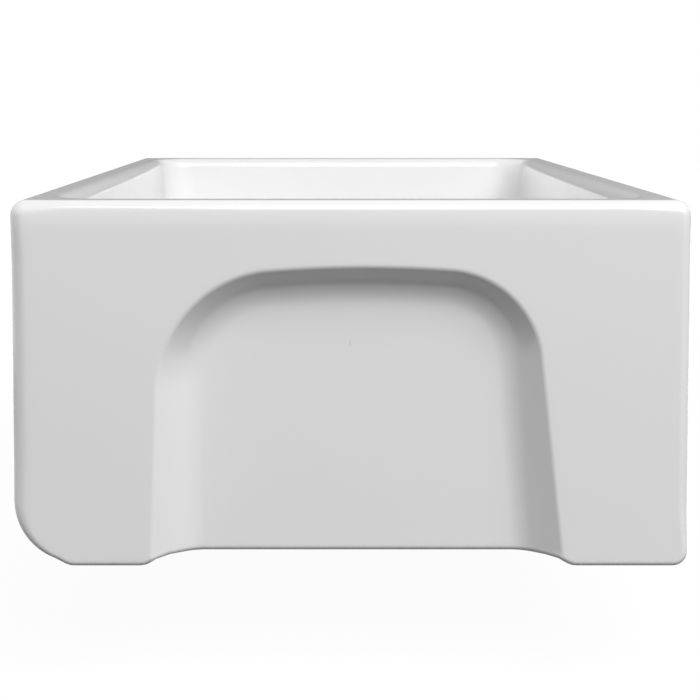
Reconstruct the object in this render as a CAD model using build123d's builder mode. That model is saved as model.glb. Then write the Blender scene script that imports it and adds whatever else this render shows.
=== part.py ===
from build123d import *
import os
from math import atan2, cos, radians, tan

# Farmhouse apron front sink with its 3 1/2 in basket strainer waste, in millimetres.
# The origin is the drain axis on the plane of the foot rails. X runs along the sink,
# the apron faces -Y and the rim faces +Z.

# ------------------------------------------------------------ fireclay casting
sink_length = 762.0             # 30 in
sink_width = 460.0              # apron face to back face
sink_height = 250.0             # foot rails to rim
rim_width = 30.0                # wall at the rim, all round
rim_outer_radius = 10.0         # long top edges
rim_inner_radius = 7.5
end_edge_radius = 8.0           # along the whole outline of each end face
back_lower_radius = 9.5
bowl_corner_radius = 33.0
bowl_draft = 5.0                # degrees, walls lean in towards the floor
bowl_cove_radius = 28.0         # between walls and floor
floor_thickness = 20.0          # at the drain
floor_fall = 4.0                # from the foot of the walls to the drain

# Under the apron a big round runs into a short tuck and then down to the rail.
apron_lower_radius = 42.0
tuck_angle = 20.0               # degrees, where the big round ends
tuck_setback = 28.8             # apron face to the kink above the rail
tuck_rise = 5.1
tuck_radius = 15.0

# Two foot rails run the whole length, and the underside is raised between them.
underside_rise = 5.5
rail_step_angle = 30.0          # degrees, step beside a rail
rail_step_radius = 12.0
front_rail_setback = 38.0       # apron face to the rail
front_rail_width = 52.0
back_rail_width = 79.0

# ------------------------------------------------------------ alcove in each end
alcove_depth = 20.0
alcove_rim_gap = 45.0           # rim to the top of the alcove
alcove_front_half = 136.0       # drain axis to the front side, at the rails
alcove_back_half = 143.0
alcove_front_lean = 2.1         # degrees, the side leans in as it rises
alcove_back_lean = 5.0
alcove_front_radius = 74.0      # corner towards the apron
alcove_back_radius = 60.0
alcove_flare = 36.0             # degrees between the alcove's wall and the X axis
alcove_blend_radius = 34.0      # wall into the alcove's floor
alcove_edge_radius = 7.0        # wall into the end face, and the sill at its foot

# ------------------------------------------------------------ drain
drain_hole_radius = 44.5        # 3 1/2 in
drain_hole_clearance = 1.5      # round the strainer's barrel
drain_bevel = 5.0
recess_clearance = 1.5          # round the strainer's flange
recess_bevel = 1.0
landing_width = 10.0            # level ring round the recess and strip inside the coves
putty_thickness = 1.5
putty_inset = 0.5

# ------------------------------------------------------------ strainer
flange_width = 10.0             # flat ring round the throat
flange_edge_radius = 0.8
sheet_thickness = 2.0
throat_width = 6.0              # 45 degree cone that the basket's lip sits in
throat_radius = 3.0
cup_depth = 57.5                # flange to the outlet's lip
cup_cove_radius = 9.0
cup_floor_fall = 2.5
outlet_radius = 19.0
outlet_lip_radius = 1.2
outlet_wall = 4.5               # to the crests of its thread
outlet_length = 13.0
cross_bar_width = 3.0
cross_bar_height = 2.0
cross_bar_rise = 1.0            # above the outlet's end
cross_hub_radius = 5.0

# ------------------------------------------------------------ clamping stack
gasket_thickness = 3.0
gasket_width = 11.5
gasket_clearance = 0.8
friction_ring_thickness = 1.0
friction_ring_inset = 0.5
thread_clearance = 0.1
lock_nut_height = 12.0
lock_nut_wall = 6.0
lock_nut_flange_width = 4.5
lock_nut_flange_thickness = 3.0
lock_nut_lugs = 8
lock_nut_lug_width = 9.0
lock_nut_lug_reach = 5.0
nut_edge_radius = 0.8

# ------------------------------------------------------------ tailpiece
washer_thickness = 2.0
washer_width = 4.5
tail_radius = 19.05             # 1 1/2 in tube
tail_wall = 1.2
tail_length = 38.0
tail_flange_thickness = 1.5
slip_clearance = 0.8            # tailpiece in the coupling nut's lip
coupling_lip = 2.5
coupling_wall = 4.0
coupling_engagement = 11.5      # nut over the outlet's thread
coupling_wings = 6
coupling_wing_width = 8.0
coupling_wing_reach = 4.0

# ------------------------------------------------------------ stopper
stopper_travel = 9.0
seat_gap = 0.3                  # between moving pieces and what they rest on
running_clearance = 0.05        # radial, post in bush
post_radius = 3.5
collar_radius = 6.0
collar_height = 1.5
seal_overlap = 5.0              # seal beyond the outlet, all round
seal_thickness = 4.5
seal_edge_radius = 1.0
plate_inset = 4.0               # plate inside the seal's edge
plate_thickness = 1.2
seal_nut_radius = 6.5
seal_nut_height = 6.0
seal_nut_crown = 2.0            # dome over the post's end
seal_nut_round = 2.5
knob_radius = 11.0
knob_height = 12.0
knob_neck_radius = 6.0
knob_neck_height = 5.0
knob_round = 3.0
knob_crown = 2.5                # knob over the post's end
knob_rise = 3.0                 # knob's top above the strainer's flange

# ------------------------------------------------------------ basket
basket_sheet = 1.2
lip_drop = 2.7                  # strainer's flange to the underside of the lip
lip_width = 5.0
lip_edge_radius = 0.5
basket_floor_radius = 30.0
basket_cove_radius = 5.0
bush_flange_radius = 9.0
bush_flange_thickness = 1.2
bush_shank_radius = 6.0
bush_head_radius = 8.0
bush_head_height = 6.0
grip_ring_section = 1.0         # radius of its round section
grip_groove_clearance = 0.1
wall_hole_radius = 1.9
wall_hole_rows = 3
wall_hole_pitch = 8.0           # from the lip to the first row and from row to row
wall_holes_per_row = 20
floor_hole_radius = 2.4
floor_hole_rings = {14.0: 8, 22.0: 14}   # ring radius: holes in it

# ------------------------------------------------------------ worked out places
half_length = sink_length / 2
front_y = -sink_width / 2
back_y = sink_width / 2
rail_step_run = underside_rise / tan(radians(rail_step_angle))
front_rail_y = front_y + front_rail_setback
front_rail_end_y = front_rail_y + front_rail_width
back_rail_y = back_y - back_rail_width

bowl_length = sink_length - 2 * rim_width
bowl_width = sink_width - 2 * rim_width
flange_top_z = underside_rise + floor_thickness
bowl_floor_z = flange_top_z + floor_fall
bowl_depth = sink_height - bowl_floor_z
wall_run = bowl_depth * tan(radians(bowl_draft))
cove_run = bowl_cove_radius * tan(radians((90 - bowl_draft) / 2))

barrel_radius = drain_hole_radius - drain_hole_clearance
cup_radius = barrel_radius - sheet_thickness
mouth_radius = cup_radius + throat_width
flange_radius = mouth_radius + flange_width
flange_z = flange_top_z - sheet_thickness
recess_radius = flange_radius + recess_clearance
recess_z = flange_z - putty_thickness
throat_z = flange_top_z - throat_width
bend_offset = sheet_thickness * tan(radians(45 / 2))
cup_floor_z = flange_top_z - cup_depth
outlet_end_z = cup_floor_z - sheet_thickness - outlet_length
outlet_thread_radius = outlet_radius + outlet_wall

gasket_z = underside_rise - gasket_thickness
gasket_radius = barrel_radius + gasket_width
friction_ring_z = gasket_z - friction_ring_thickness
lock_nut_z = friction_ring_z - lock_nut_height
washer_z = outlet_end_z - washer_thickness
tail_flange_z = washer_z - tail_flange_thickness
tail_end_z = tail_flange_z - tail_length
coupling_z = tail_flange_z - coupling_lip
coupling_top_z = outlet_end_z + coupling_engagement
coupling_bore = outlet_thread_radius + thread_clearance

seal_radius = outlet_radius + seal_overlap
seal_z = cup_floor_z + seat_gap
seal_edge_z = seal_z + cup_floor_fall * seal_overlap / (cup_radius - outlet_radius)
plate_z = seal_z + seal_thickness
collar_z = plate_z + plate_thickness
collar_top_z = collar_z + collar_height
bush_z = collar_top_z + stopper_travel + seat_gap
basket_z = bush_z + bush_flange_thickness
bush_head_z = basket_z + basket_sheet
post_end_z = seal_z - seal_nut_height + seal_nut_crown
knob_top_z = flange_top_z + knob_rise
knob_z = knob_top_z - knob_height
post_bore = post_radius + running_clearance
lip_z = flange_top_z - lip_drop
lip_radius = mouth_radius - lip_drop - seat_gap / cos(radians(45))
basket_wall_radius = lip_radius - lip_width

os.makedirs("parts", exist_ok=True)


def outline(*corners):
    """Draws a closed line through corners given as across, up and the round there."""
    FilletPolyline(
        *[(across, up) for across, up, _ in corners],
        radius=[corner_round for _, _, corner_round in corners],
        close=True,
    )


# ============================================================ sink_body
# The alcove's shape is a tapered plug with a rounded nose. It is open at the foot.
alcove_foot_z = -3 * end_edge_radius
alcove_top_z = sink_height - alcove_rim_gap


def alcove_side(half, lean, z):
    """Distance of an alcove's side from the drain axis at height z."""
    return half - z * tan(radians(lean))


with BuildPart() as alcove_plug:
    front_foot = -alcove_side(alcove_front_half, alcove_front_lean, alcove_foot_z)
    front_head = -alcove_side(alcove_front_half, alcove_front_lean, alcove_top_z)
    back_head = alcove_side(alcove_back_half, alcove_back_lean, alcove_top_z)
    back_foot = alcove_side(alcove_back_half, alcove_back_lean, alcove_foot_z)
    with BuildSketch(Plane.YZ.offset(half_length)):
        with BuildLine():
            outline(
                (front_foot, alcove_foot_z, 0),
                (front_head, alcove_top_z, alcove_front_radius),
                (back_head, alcove_top_z, alcove_back_radius),
                (back_foot, alcove_foot_z, 0),
            )
        make_face()
    extrude(amount=-alcove_depth, taper=alcove_flare)
    nose = alcove_plug.faces().sort_by(Axis.X)[0]
    fillet(nose.edges().sort_by(Axis.Z)[1:], radius=alcove_blend_radius)

with BuildPart() as sink_body:
    with BuildSketch(Plane.YZ.offset(-half_length)):
        with BuildLine():
            outline(
                (front_y, sink_height, rim_outer_radius),
                (front_y, tuck_rise + tuck_setback * tan(radians(tuck_angle)), apron_lower_radius),
                (front_y + tuck_setback, tuck_rise, tuck_radius),
                (front_rail_y, 0, rail_step_radius),
                (front_rail_end_y, 0, rail_step_radius),
                (front_rail_end_y + rail_step_run, underside_rise, rail_step_radius),
                (back_rail_y - rail_step_run, underside_rise, rail_step_radius),
                (back_rail_y, 0, rail_step_radius),
                (back_y, 0, back_lower_radius),
                (back_y, sink_height, rim_outer_radius),
            )
        make_face()
    extrude(amount=sink_length)
    fillet(sink_body.faces().filter_by(Plane.YZ).edges(), radius=end_edge_radius)

    # Alcoves, the far one a mirror image of the near one.
    add(alcove_plug.part, mode=Mode.SUBTRACT)
    add(mirror(alcove_plug.part, about=Plane.YZ, mode=Mode.PRIVATE), mode=Mode.SUBTRACT)
    alcove_tops = sink_body.edges().filter_by_position(
        Axis.Z, alcove_top_z - alcove_edge_radius / 2, alcove_top_z + alcove_edge_radius / 2
    )
    mouth_tops = alcove_tops.filter_by(lambda edge: abs(edge.center().X) > half_length - 1)
    fillet(mouth_tops, radius=alcove_edge_radius)

    # Bowl: walls with draft and a cove round the floor.
    with BuildSketch(Plane.XY.offset(sink_height)):
        RectangleRounded(bowl_length, bowl_width, bowl_corner_radius)
    with BuildSketch(Plane.XY.offset(bowl_floor_z)):
        RectangleRounded(
            bowl_length - 2 * wall_run, bowl_width - 2 * wall_run, bowl_corner_radius
        )
    loft(ruled=True, mode=Mode.SUBTRACT)
    bowl_floor = sink_body.faces().filter_by_position(
        Axis.Z, bowl_floor_z - floor_fall, bowl_floor_z + floor_fall
    ).filter_by(Plane.XY)
    fillet(bowl_floor.edges(), radius=bowl_cove_radius)

    # The floor falls from a level strip inside the coves to a level ring round the recess.
    with BuildSketch(Plane.XY.offset(bowl_floor_z)):
        RectangleRounded(
            bowl_length - 2 * wall_run - 2 * cove_run - 2 * landing_width,
            bowl_width - 2 * wall_run - 2 * cove_run - 2 * landing_width,
            recess_radius + landing_width,
        )
    with BuildSketch(Plane.XY.offset(flange_top_z)):
        Circle(recess_radius + landing_width)
    loft(ruled=True, mode=Mode.SUBTRACT)

    # Drain: recess for the strainer's flange, then the bevelled hole.
    with BuildSketch(Plane.XZ):
        with BuildLine():
            outline(
                (0, 0, 0),
                (drain_hole_radius, 0, 0),
                (drain_hole_radius, recess_z - drain_bevel, 0),
                (drain_hole_radius + drain_bevel, recess_z, 0),
                (recess_radius, recess_z, 0),
                (recess_radius, flange_top_z - recess_bevel, 0),
                (recess_radius + recess_bevel, flange_top_z, 0),
                (recess_radius + recess_bevel, bowl_floor_z + floor_fall, 0),
                (0, bowl_floor_z + floor_fall, 0),
            )
        make_face()
    revolve(axis=Axis.Z, mode=Mode.SUBTRACT)

    # Inner edge of the rim.
    rim_face = sink_body.faces().filter_by(Plane.XY).sort_by(Axis.Z)[-1]
    fillet(rim_face.inner_wires().edges(), radius=rim_inner_radius)
sink_body.part.label = "sink_body"
export_step(sink_body.part, "parts/sink_body.step")

# ============================================================ strainer_body
with BuildPart() as strainer_body:
    with BuildSketch(Plane.XZ):
        with BuildLine():
            outline(
                (flange_radius, flange_z, 0),
                (flange_radius, flange_top_z, flange_edge_radius),
                (mouth_radius, flange_top_z, throat_radius),
                (cup_radius, throat_z, throat_radius),
                (cup_radius, cup_floor_z + cup_floor_fall, cup_cove_radius),
                (outlet_radius, cup_floor_z, outlet_lip_radius),
                (outlet_radius, outlet_end_z, 0),
                (outlet_thread_radius, outlet_end_z, 0),
                (outlet_thread_radius, cup_floor_z - sheet_thickness, 0),
                (
                    barrel_radius,
                    cup_floor_z + cup_floor_fall - sheet_thickness,
                    cup_cove_radius + sheet_thickness,
                ),
                (barrel_radius, throat_z - bend_offset, throat_radius),
                (mouth_radius + bend_offset, flange_z, throat_radius),
            )
        make_face()
    revolve(axis=Axis.Z)
    # Cross-bars in the outlet, let into its wall.
    with BuildSketch(Plane.XY.offset(outlet_end_z + cross_bar_rise)):
        Rectangle(outlet_radius + outlet_thread_radius, cross_bar_width)
        Rectangle(cross_bar_width, outlet_radius + outlet_thread_radius)
        Circle(cross_hub_radius)
    extrude(amount=cross_bar_height)
strainer_body.part.label = "strainer_body"
export_step(strainer_body.part, "parts/strainer_body.step")

# ============================================================ putty_ring
with BuildPart() as putty_ring:
    with BuildSketch(Plane.XY.offset(recess_z)):
        Circle(flange_radius - putty_inset)
        Circle(drain_hole_radius + drain_bevel + putty_inset, mode=Mode.SUBTRACT)
    extrude(amount=putty_thickness)
putty_ring.part.label = "putty_ring"
export_step(putty_ring.part, "parts/putty_ring.step")

# ============================================================ rubber_gasket
with BuildPart() as rubber_gasket:
    with BuildSketch(Plane.XY.offset(gasket_z)):
        Circle(gasket_radius)
        Circle(barrel_radius + gasket_clearance, mode=Mode.SUBTRACT)
    extrude(amount=gasket_thickness)
rubber_gasket.part.label = "rubber_gasket"
export_step(rubber_gasket.part, "parts/rubber_gasket.step")

# ============================================================ friction_ring
with BuildPart() as friction_ring:
    with BuildSketch(Plane.XY.offset(friction_ring_z)):
        Circle(gasket_radius - friction_ring_inset)
        Circle(barrel_radius + gasket_clearance, mode=Mode.SUBTRACT)
    extrude(amount=friction_ring_thickness)
friction_ring.part.label = "friction_ring"
export_step(friction_ring.part, "parts/friction_ring.step")

# ============================================================ lock_nut
lock_nut_bore = barrel_radius + thread_clearance
lock_nut_radius = lock_nut_bore + lock_nut_wall
with BuildPart() as lock_nut:
    with BuildSketch(Plane.XZ):
        with BuildLine():
            outline(
                (lock_nut_bore, lock_nut_z, 0),
                (lock_nut_radius, lock_nut_z, nut_edge_radius),
                (lock_nut_radius, friction_ring_z - lock_nut_flange_thickness, 0),
                (
                    lock_nut_radius + lock_nut_flange_width,
                    friction_ring_z - lock_nut_flange_thickness,
                    nut_edge_radius,
                ),
                (lock_nut_radius + lock_nut_flange_width, friction_ring_z, 0),
                (lock_nut_bore, friction_ring_z, 0),
            )
        make_face()
    revolve(axis=Axis.Z)
    with BuildSketch(Plane.XY.offset(lock_nut_z)):
        with PolarLocations(lock_nut_radius, lock_nut_lugs):
            Rectangle(2 * lock_nut_lug_reach, lock_nut_lug_width)
    extrude(amount=lock_nut_height - lock_nut_flange_thickness)
lock_nut.part.label = "lock_nut"
export_step(lock_nut.part, "parts/lock_nut.step")

# ============================================================ tailpiece_washer
with BuildPart() as tailpiece_washer:
    with BuildSketch(Plane.XY.offset(washer_z)):
        Circle(outlet_thread_radius)
        Circle(outlet_thread_radius - washer_width, mode=Mode.SUBTRACT)
    extrude(amount=washer_thickness)
tailpiece_washer.part.label = "tailpiece_washer"
export_step(tailpiece_washer.part, "parts/tailpiece_washer.step")

# ============================================================ tailpiece
with BuildPart() as tailpiece:
    with BuildSketch(Plane.XZ):
        with BuildLine():
            outline(
                (tail_radius - tail_wall, tail_end_z, 0),
                (tail_radius, tail_end_z, 0),
                (tail_radius, tail_flange_z, 0),
                (outlet_thread_radius, tail_flange_z, 0),
                (outlet_thread_radius, washer_z, 0),
                (tail_radius - tail_wall, washer_z, tail_wall / 2),
            )
        make_face()
    revolve(axis=Axis.Z)
tailpiece.part.label = "tailpiece"
export_step(tailpiece.part, "parts/tailpiece.step")

# ============================================================ coupling_nut
coupling_radius = coupling_bore + coupling_wall
with BuildPart() as coupling_nut:
    with BuildSketch(Plane.XZ):
        with BuildLine():
            outline(
                (tail_radius + slip_clearance, coupling_z, 0),
                (coupling_radius, coupling_z, nut_edge_radius),
                (coupling_radius, coupling_top_z, nut_edge_radius),
                (coupling_bore, coupling_top_z, 0),
                (coupling_bore, tail_flange_z, 0),
                (tail_radius + slip_clearance, tail_flange_z, 0),
            )
        make_face()
    revolve(axis=Axis.Z)
    with BuildSketch(Plane.XY.offset(coupling_z)):
        with PolarLocations(coupling_radius, coupling_wings):
            SlotOverall(coupling_wing_width + coupling_wing_reach, 2 * coupling_wing_reach)
        Circle(coupling_radius - coupling_wall / 2, mode=Mode.SUBTRACT)
    extrude(amount=coupling_top_z - coupling_z)
coupling_nut.part.label = "coupling_nut"
export_step(coupling_nut.part, "parts/coupling_nut.step")

# ============================================================ basket
wall_slope = atan2(basket_wall_radius - basket_floor_radius, lip_z - basket_z)
wall_across = basket_sheet / cos(wall_slope)
with BuildPart() as basket:
    with BuildSketch(Plane.XZ):
        with BuildLine():
            outline(
                (bush_shank_radius, basket_z, 0),
                (basket_floor_radius, basket_z, basket_cove_radius + basket_sheet),
                (basket_wall_radius, lip_z, basket_sheet),
                (lip_radius, lip_z, lip_edge_radius),
                (lip_radius, lip_z + basket_sheet, lip_edge_radius),
                (basket_wall_radius - wall_across, lip_z + basket_sheet, 2 * basket_sheet),
                (basket_floor_radius - wall_across, bush_head_z, basket_cove_radius),
                (bush_shank_radius, bush_head_z, 0),
            )
        make_face()
    revolve(axis=Axis.Z)
    for row in range(1, wall_hole_rows + 1):
        row_z = lip_z - row * wall_hole_pitch
        row_turn = 180 / wall_holes_per_row * (row % 2)
        with PolarLocations(0, wall_holes_per_row, start_angle=row_turn):
            with Locations(Location((basket_floor_radius, 0, row_z), (0, 90, 0))):
                Cylinder(wall_hole_radius, basket_wall_radius / 2, mode=Mode.SUBTRACT)
    with BuildSketch(Plane.XY.offset(basket_z)):
        for ring_radius, hole_count in floor_hole_rings.items():
            with PolarLocations(ring_radius, hole_count):
                Circle(floor_hole_radius)
    extrude(amount=basket_sheet, mode=Mode.SUBTRACT)
basket.part.label = "basket"
export_step(basket.part, "parts/basket.step")

# ============================================================ post_bush
groove_radius = post_bore + 2 * grip_ring_section + grip_groove_clearance
groove_half = grip_ring_section + grip_groove_clearance
groove_z = bush_head_z + bush_head_height / 2
with BuildPart() as post_bush:
    with BuildSketch(Plane.XZ):
        with BuildLine():
            outline(
                (post_bore, bush_z, 0),
                (bush_flange_radius, bush_z, 0),
                (bush_flange_radius, basket_z, 0),
                (bush_shank_radius, basket_z, 0),
                (bush_shank_radius, bush_head_z, 0),
                (bush_head_radius, bush_head_z, 0),
                (bush_head_radius, bush_head_z + bush_head_height, bush_flange_thickness),
                (post_bore, bush_head_z + bush_head_height, 0),
                (post_bore, groove_z + groove_half, 0),
                (groove_radius, groove_z + groove_half, 0),
                (groove_radius, groove_z - groove_half, 0),
                (post_bore, groove_z - groove_half, 0),
            )
        make_face()
    revolve(axis=Axis.Z)
post_bush.part.label = "post_bush"
export_step(post_bush.part, "parts/post_bush.step")

# ============================================================ grip_ring
with BuildPart() as grip_ring:
    with BuildSketch(Plane.XZ):
        with Locations((post_bore + grip_ring_section, groove_z)):
            Circle(grip_ring_section)
    revolve(axis=Axis.Z)
grip_ring.part.label = "grip_ring"
export_step(grip_ring.part, "parts/grip_ring.step")

# ============================================================ stopper_post
with BuildPart() as stopper_post:
    with BuildSketch(Plane.XZ):
        with BuildLine():
            outline(
                (0, post_end_z, 0),
                (post_radius, post_end_z, 0),
                (post_radius, collar_z, 0),
                (collar_radius, collar_z, 0),
                (collar_radius, collar_top_z, 0),
                (post_radius, collar_top_z, 0),
                (post_radius, knob_top_z - knob_crown, 0),
                (0, knob_top_z - knob_crown, 0),
            )
        make_face()
    revolve(axis=Axis.Z)
stopper_post.part.label = "stopper_post"
export_step(stopper_post.part, "parts/stopper_post.step")

# ============================================================ seal_plate
with BuildPart() as seal_plate:
    with BuildSketch(Plane.XY.offset(plate_z)):
        Circle(seal_radius - plate_inset)
        Circle(post_bore, mode=Mode.SUBTRACT)
    extrude(amount=plate_thickness)
seal_plate.part.label = "seal_plate"
export_step(seal_plate.part, "parts/seal_plate.step")

# ============================================================ stopper_seal
with BuildPart() as stopper_seal:
    with BuildSketch(Plane.XZ):
        with BuildLine():
            outline(
                (post_bore, seal_z, 0),
                (outlet_radius, seal_z, 0),
                (seal_radius, seal_edge_z, 0),
                (seal_radius, plate_z, seal_edge_radius),
                (post_bore, plate_z, 0),
            )
        make_face()
    revolve(axis=Axis.Z)
stopper_seal.part.label = "stopper_seal"
export_step(stopper_seal.part, "parts/stopper_seal.step")

# ============================================================ seal_nut
with BuildPart() as seal_nut:
    with BuildSketch(Plane.XZ):
        with BuildLine():
            outline(
                (0, seal_z - seal_nut_height, 0),
                (seal_nut_radius, seal_z - seal_nut_height, seal_nut_round),
                (seal_nut_radius, seal_z, 0),
                (post_bore, seal_z, 0),
                (post_bore, post_end_z, 0),
                (0, post_end_z, 0),
            )
        make_face()
    revolve(axis=Axis.Z)
seal_nut.part.label = "seal_nut"
export_step(seal_nut.part, "parts/seal_nut.step")

# ============================================================ knob
with BuildPart() as knob:
    with BuildSketch(Plane.XZ):
        with BuildLine():
            outline(
                (post_bore, knob_z, 0),
                (knob_neck_radius, knob_z, 0),
                (knob_neck_radius, knob_z + knob_neck_height, 0),
                (knob_radius, knob_z + knob_neck_height, nut_edge_radius),
                (knob_radius, knob_top_z, knob_round),
                (0, knob_top_z, 0),
                (0, knob_top_z - knob_crown, 0),
                (post_bore, knob_top_z - knob_crown, 0),
            )
        make_face()
    revolve(axis=Axis.Z)
knob.part.label = "knob"
export_step(knob.part, "parts/knob.step")
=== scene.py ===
from math import atan2, cos, pi, radians, sin, tan

import bmesh
import bpy
import numpy as np
from bpy.props import FloatProperty, FloatVectorProperty, IntProperty, PointerProperty
from mathutils import Euler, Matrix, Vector


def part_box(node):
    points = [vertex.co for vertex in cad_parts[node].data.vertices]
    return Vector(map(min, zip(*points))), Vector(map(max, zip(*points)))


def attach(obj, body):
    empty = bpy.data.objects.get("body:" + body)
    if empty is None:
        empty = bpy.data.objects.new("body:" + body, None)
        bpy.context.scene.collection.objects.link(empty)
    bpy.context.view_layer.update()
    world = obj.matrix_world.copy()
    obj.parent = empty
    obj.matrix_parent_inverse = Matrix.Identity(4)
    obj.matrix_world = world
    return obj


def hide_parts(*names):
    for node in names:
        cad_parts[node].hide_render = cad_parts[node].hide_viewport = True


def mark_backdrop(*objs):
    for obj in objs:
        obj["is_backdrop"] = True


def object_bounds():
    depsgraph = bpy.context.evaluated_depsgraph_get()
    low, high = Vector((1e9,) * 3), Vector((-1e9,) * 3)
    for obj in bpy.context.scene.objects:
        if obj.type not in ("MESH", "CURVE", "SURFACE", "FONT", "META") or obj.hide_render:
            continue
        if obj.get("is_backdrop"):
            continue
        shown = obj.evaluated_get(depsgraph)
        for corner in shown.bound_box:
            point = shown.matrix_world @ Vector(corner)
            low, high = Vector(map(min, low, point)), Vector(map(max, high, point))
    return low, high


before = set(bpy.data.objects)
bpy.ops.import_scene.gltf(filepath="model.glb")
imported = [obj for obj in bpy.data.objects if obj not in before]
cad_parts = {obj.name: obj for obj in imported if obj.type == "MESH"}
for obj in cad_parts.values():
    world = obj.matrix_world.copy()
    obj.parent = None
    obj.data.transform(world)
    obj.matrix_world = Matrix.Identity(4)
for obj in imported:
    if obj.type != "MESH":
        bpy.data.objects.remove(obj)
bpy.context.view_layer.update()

bl_info = {
    "name": "Farmhouse apron front sink",
    "version": (1, 0, 0),
    "blender": (4, 5, 0),
    "location": "View3D > Sidebar > Sink",
    "description": "Dresses the fireclay sink and its basket strainer waste",
    "category": "Object",
}

MM = 0.001

sink_low, sink_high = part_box("sink_body")
SINK_LENGTH = sink_high[0] - sink_low[0]
SINK_WIDTH = sink_high[1] - sink_low[1]
SINK_HEIGHT = sink_high[2] - sink_low[2]


# ------------------------------------------------------------------ properties
def length(name, about, size):
    """A length property, with its default given in millimetres."""
    return FloatProperty(name=name, description=about, default=size * MM, unit="LENGTH")


def angle(name, about, size):
    """An angle property, with its default given in degrees."""
    return FloatProperty(name=name, description=about, default=radians(size), unit="ROTATION")


def number(name, about, value, **limits):
    return FloatProperty(name=name, description=about, default=value, **limits)


def whole_number(name, about, value, **limits):
    return IntProperty(name=name, description=about, default=value, **limits)


def colour(name, about, value):
    return FloatVectorProperty(
        name=name, description=about, default=value, subtype="COLOR", size=3, min=0, max=1
    )


class SinkSizes(bpy.types.PropertyGroup):
    """Sizes of the fireclay casting."""

    rim_width: length("Rim width", "Wall at the rim, all round", 30)
    rim_outer_round: length("Rim outer round", "Long top edges", 10)
    rim_inner_round: length("Rim inner round", "Edge of the bowl", 10)
    front_end_round: length("Front end round", "Upright edges beside the apron", 11.5)
    back_end_round: length("Back end round", "Upright edges at the back", 7.5)
    top_end_round: length("Top end round", "Top edges of the ends", 6)
    top_end_ease: length("Top end ease", "How far the ends lean in at the top", 2.4)
    ease_height: length("Ease height", "Height over which they lean in", 20)
    foot_end_round: length("Foot end round", "Lower edges of the ends", 3.8)
    apron_lower_round: length("Apron lower round", "Big round under the apron", 42)
    tuck_setback: length("Tuck setback", "Apron face to the kink above the rail", 28.8)
    tuck_rise: length("Tuck rise", "Height of the kink above the rail", 5.1)
    tuck_round: length("Tuck round", "Round of the kink", 15)
    tuck_slope: angle("Tuck slope", "Slope at the end of the big round", 20)
    underside_rise: length("Underside rise", "Underside above the foot rails", 5.5)
    rail_step_slope: angle("Rail step slope", "Slope of the step beside a rail", 30)
    rail_step_round: length("Rail step round", "Rounds beside a rail", 12)
    front_rail_setback: length("Front rail setback", "Apron face to the front rail", 38)
    front_rail_width: length("Front rail width", "Flat of the front rail", 52)
    back_rail_width: length("Back rail width", "Back rail to the back face", 79)
    back_lower_round: length("Back lower round", "Lower edge of the back", 9.5)
    bowl_corner_round: length("Bowl corner round", "Upright corners of the bowl", 33)
    bowl_draft: angle("Bowl draft", "Lean of the bowl walls", 5)
    bowl_cove_round: length("Bowl cove round", "Between walls and floor", 28)
    floor_thickness: length("Floor thickness", "At the drain", 20)
    floor_fall: length("Floor fall", "From the walls to the drain", 4)
    landing_width: length("Landing width", "Level ring round the drain recess", 10)
    recess_radius: length("Recess radius", "Seat of the strainer flange", 58.5)
    recess_depth: length("Recess depth", "Landing to the seat", 3.5)
    drain_radius: length("Drain radius", "Hole through the floor", 44.5)
    drain_bevel: length("Drain bevel", "Bevel under the putty", 5)


class AlcoveSizes(bpy.types.PropertyGroup):
    """Sizes of the arched alcove in each end."""

    depth: length("Depth", "End face to the alcove's floor", 20)
    rim_gap: length("Rim gap", "Rim to the crown of the alcove", 45.2)
    crown_round: length("Crown round", "Radius of the gently arched top", 800)
    crown_offset: length("Crown offset", "Highest point, towards the back", 10)
    front_half: length("Front half", "Drain axis to the front side, at the feet", 136)
    back_half: length("Back half", "Drain axis to the back side, at the feet", 145.6)
    front_lean: angle("Front lean", "The front side leans in as it rises", 2.1)
    back_lean: angle("Back lean", "The back side leans in as it rises", 6.3)
    front_corner: length("Front corner", "Upper corner towards the apron", 83)
    back_corner: length("Back corner", "Upper corner towards the back", 67)
    crown_flare: angle("Crown flare", "Top wall against the length of the sink", 36)
    front_flare: angle("Front flare", "Front wall against the length of the sink", 46)
    back_flare: angle("Back flare", "Back wall against the length of the sink", 43)
    foot_flare: angle("Foot flare", "What the side walls gain towards the feet", 9)
    blend_round: length("Blend round", "Wall into the alcove's floor", 24)
    edge_round: length("Edge round", "Wall into the end face", 5)


class BasketSizes(bpy.types.PropertyGroup):
    """Sizes of the perforated basket."""

    sheet: length("Sheet", "Thickness of the pressed sheet", 1.2)
    lip_radius: length("Lip radius", "Outside of the lip", 43.88)
    lip_width: length("Lip width", "Lip outside the wall", 5)
    lip_z: length("Lip height", "Underside of the lip", 22.8)
    floor_radius: length("Floor radius", "Foot of the wall", 30)
    floor_z: length("Floor height", "Underside of the floor", -14)
    bush_radius: length("Bush radius", "Hole for the post's bush", 6)
    cove_round: length("Cove round", "Floor into wall", 5)
    wall_hole: length("Wall hole", "Radius of the holes in the wall", 1.9)
    wall_rows: whole_number("Wall rows", "Rows of holes", 3, min=1, max=3)
    row_holes: whole_number("Holes per row", "In the wall", 20, min=3)
    row_pitch: length("Row pitch", "From the lip to the first row, and on", 8)
    floor_hole: length("Floor hole", "Radius of the holes in the floor", 2.4)
    inner_ring: length("Inner ring", "Radius of the inner ring of floor holes", 14)
    inner_holes: whole_number("Inner holes", "In the inner ring", 8, min=3)
    outer_ring: length("Outer ring", "Radius of the outer ring of floor holes", 22)
    outer_holes: whole_number("Outer holes", "In the outer ring", 14, min=3)


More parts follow.
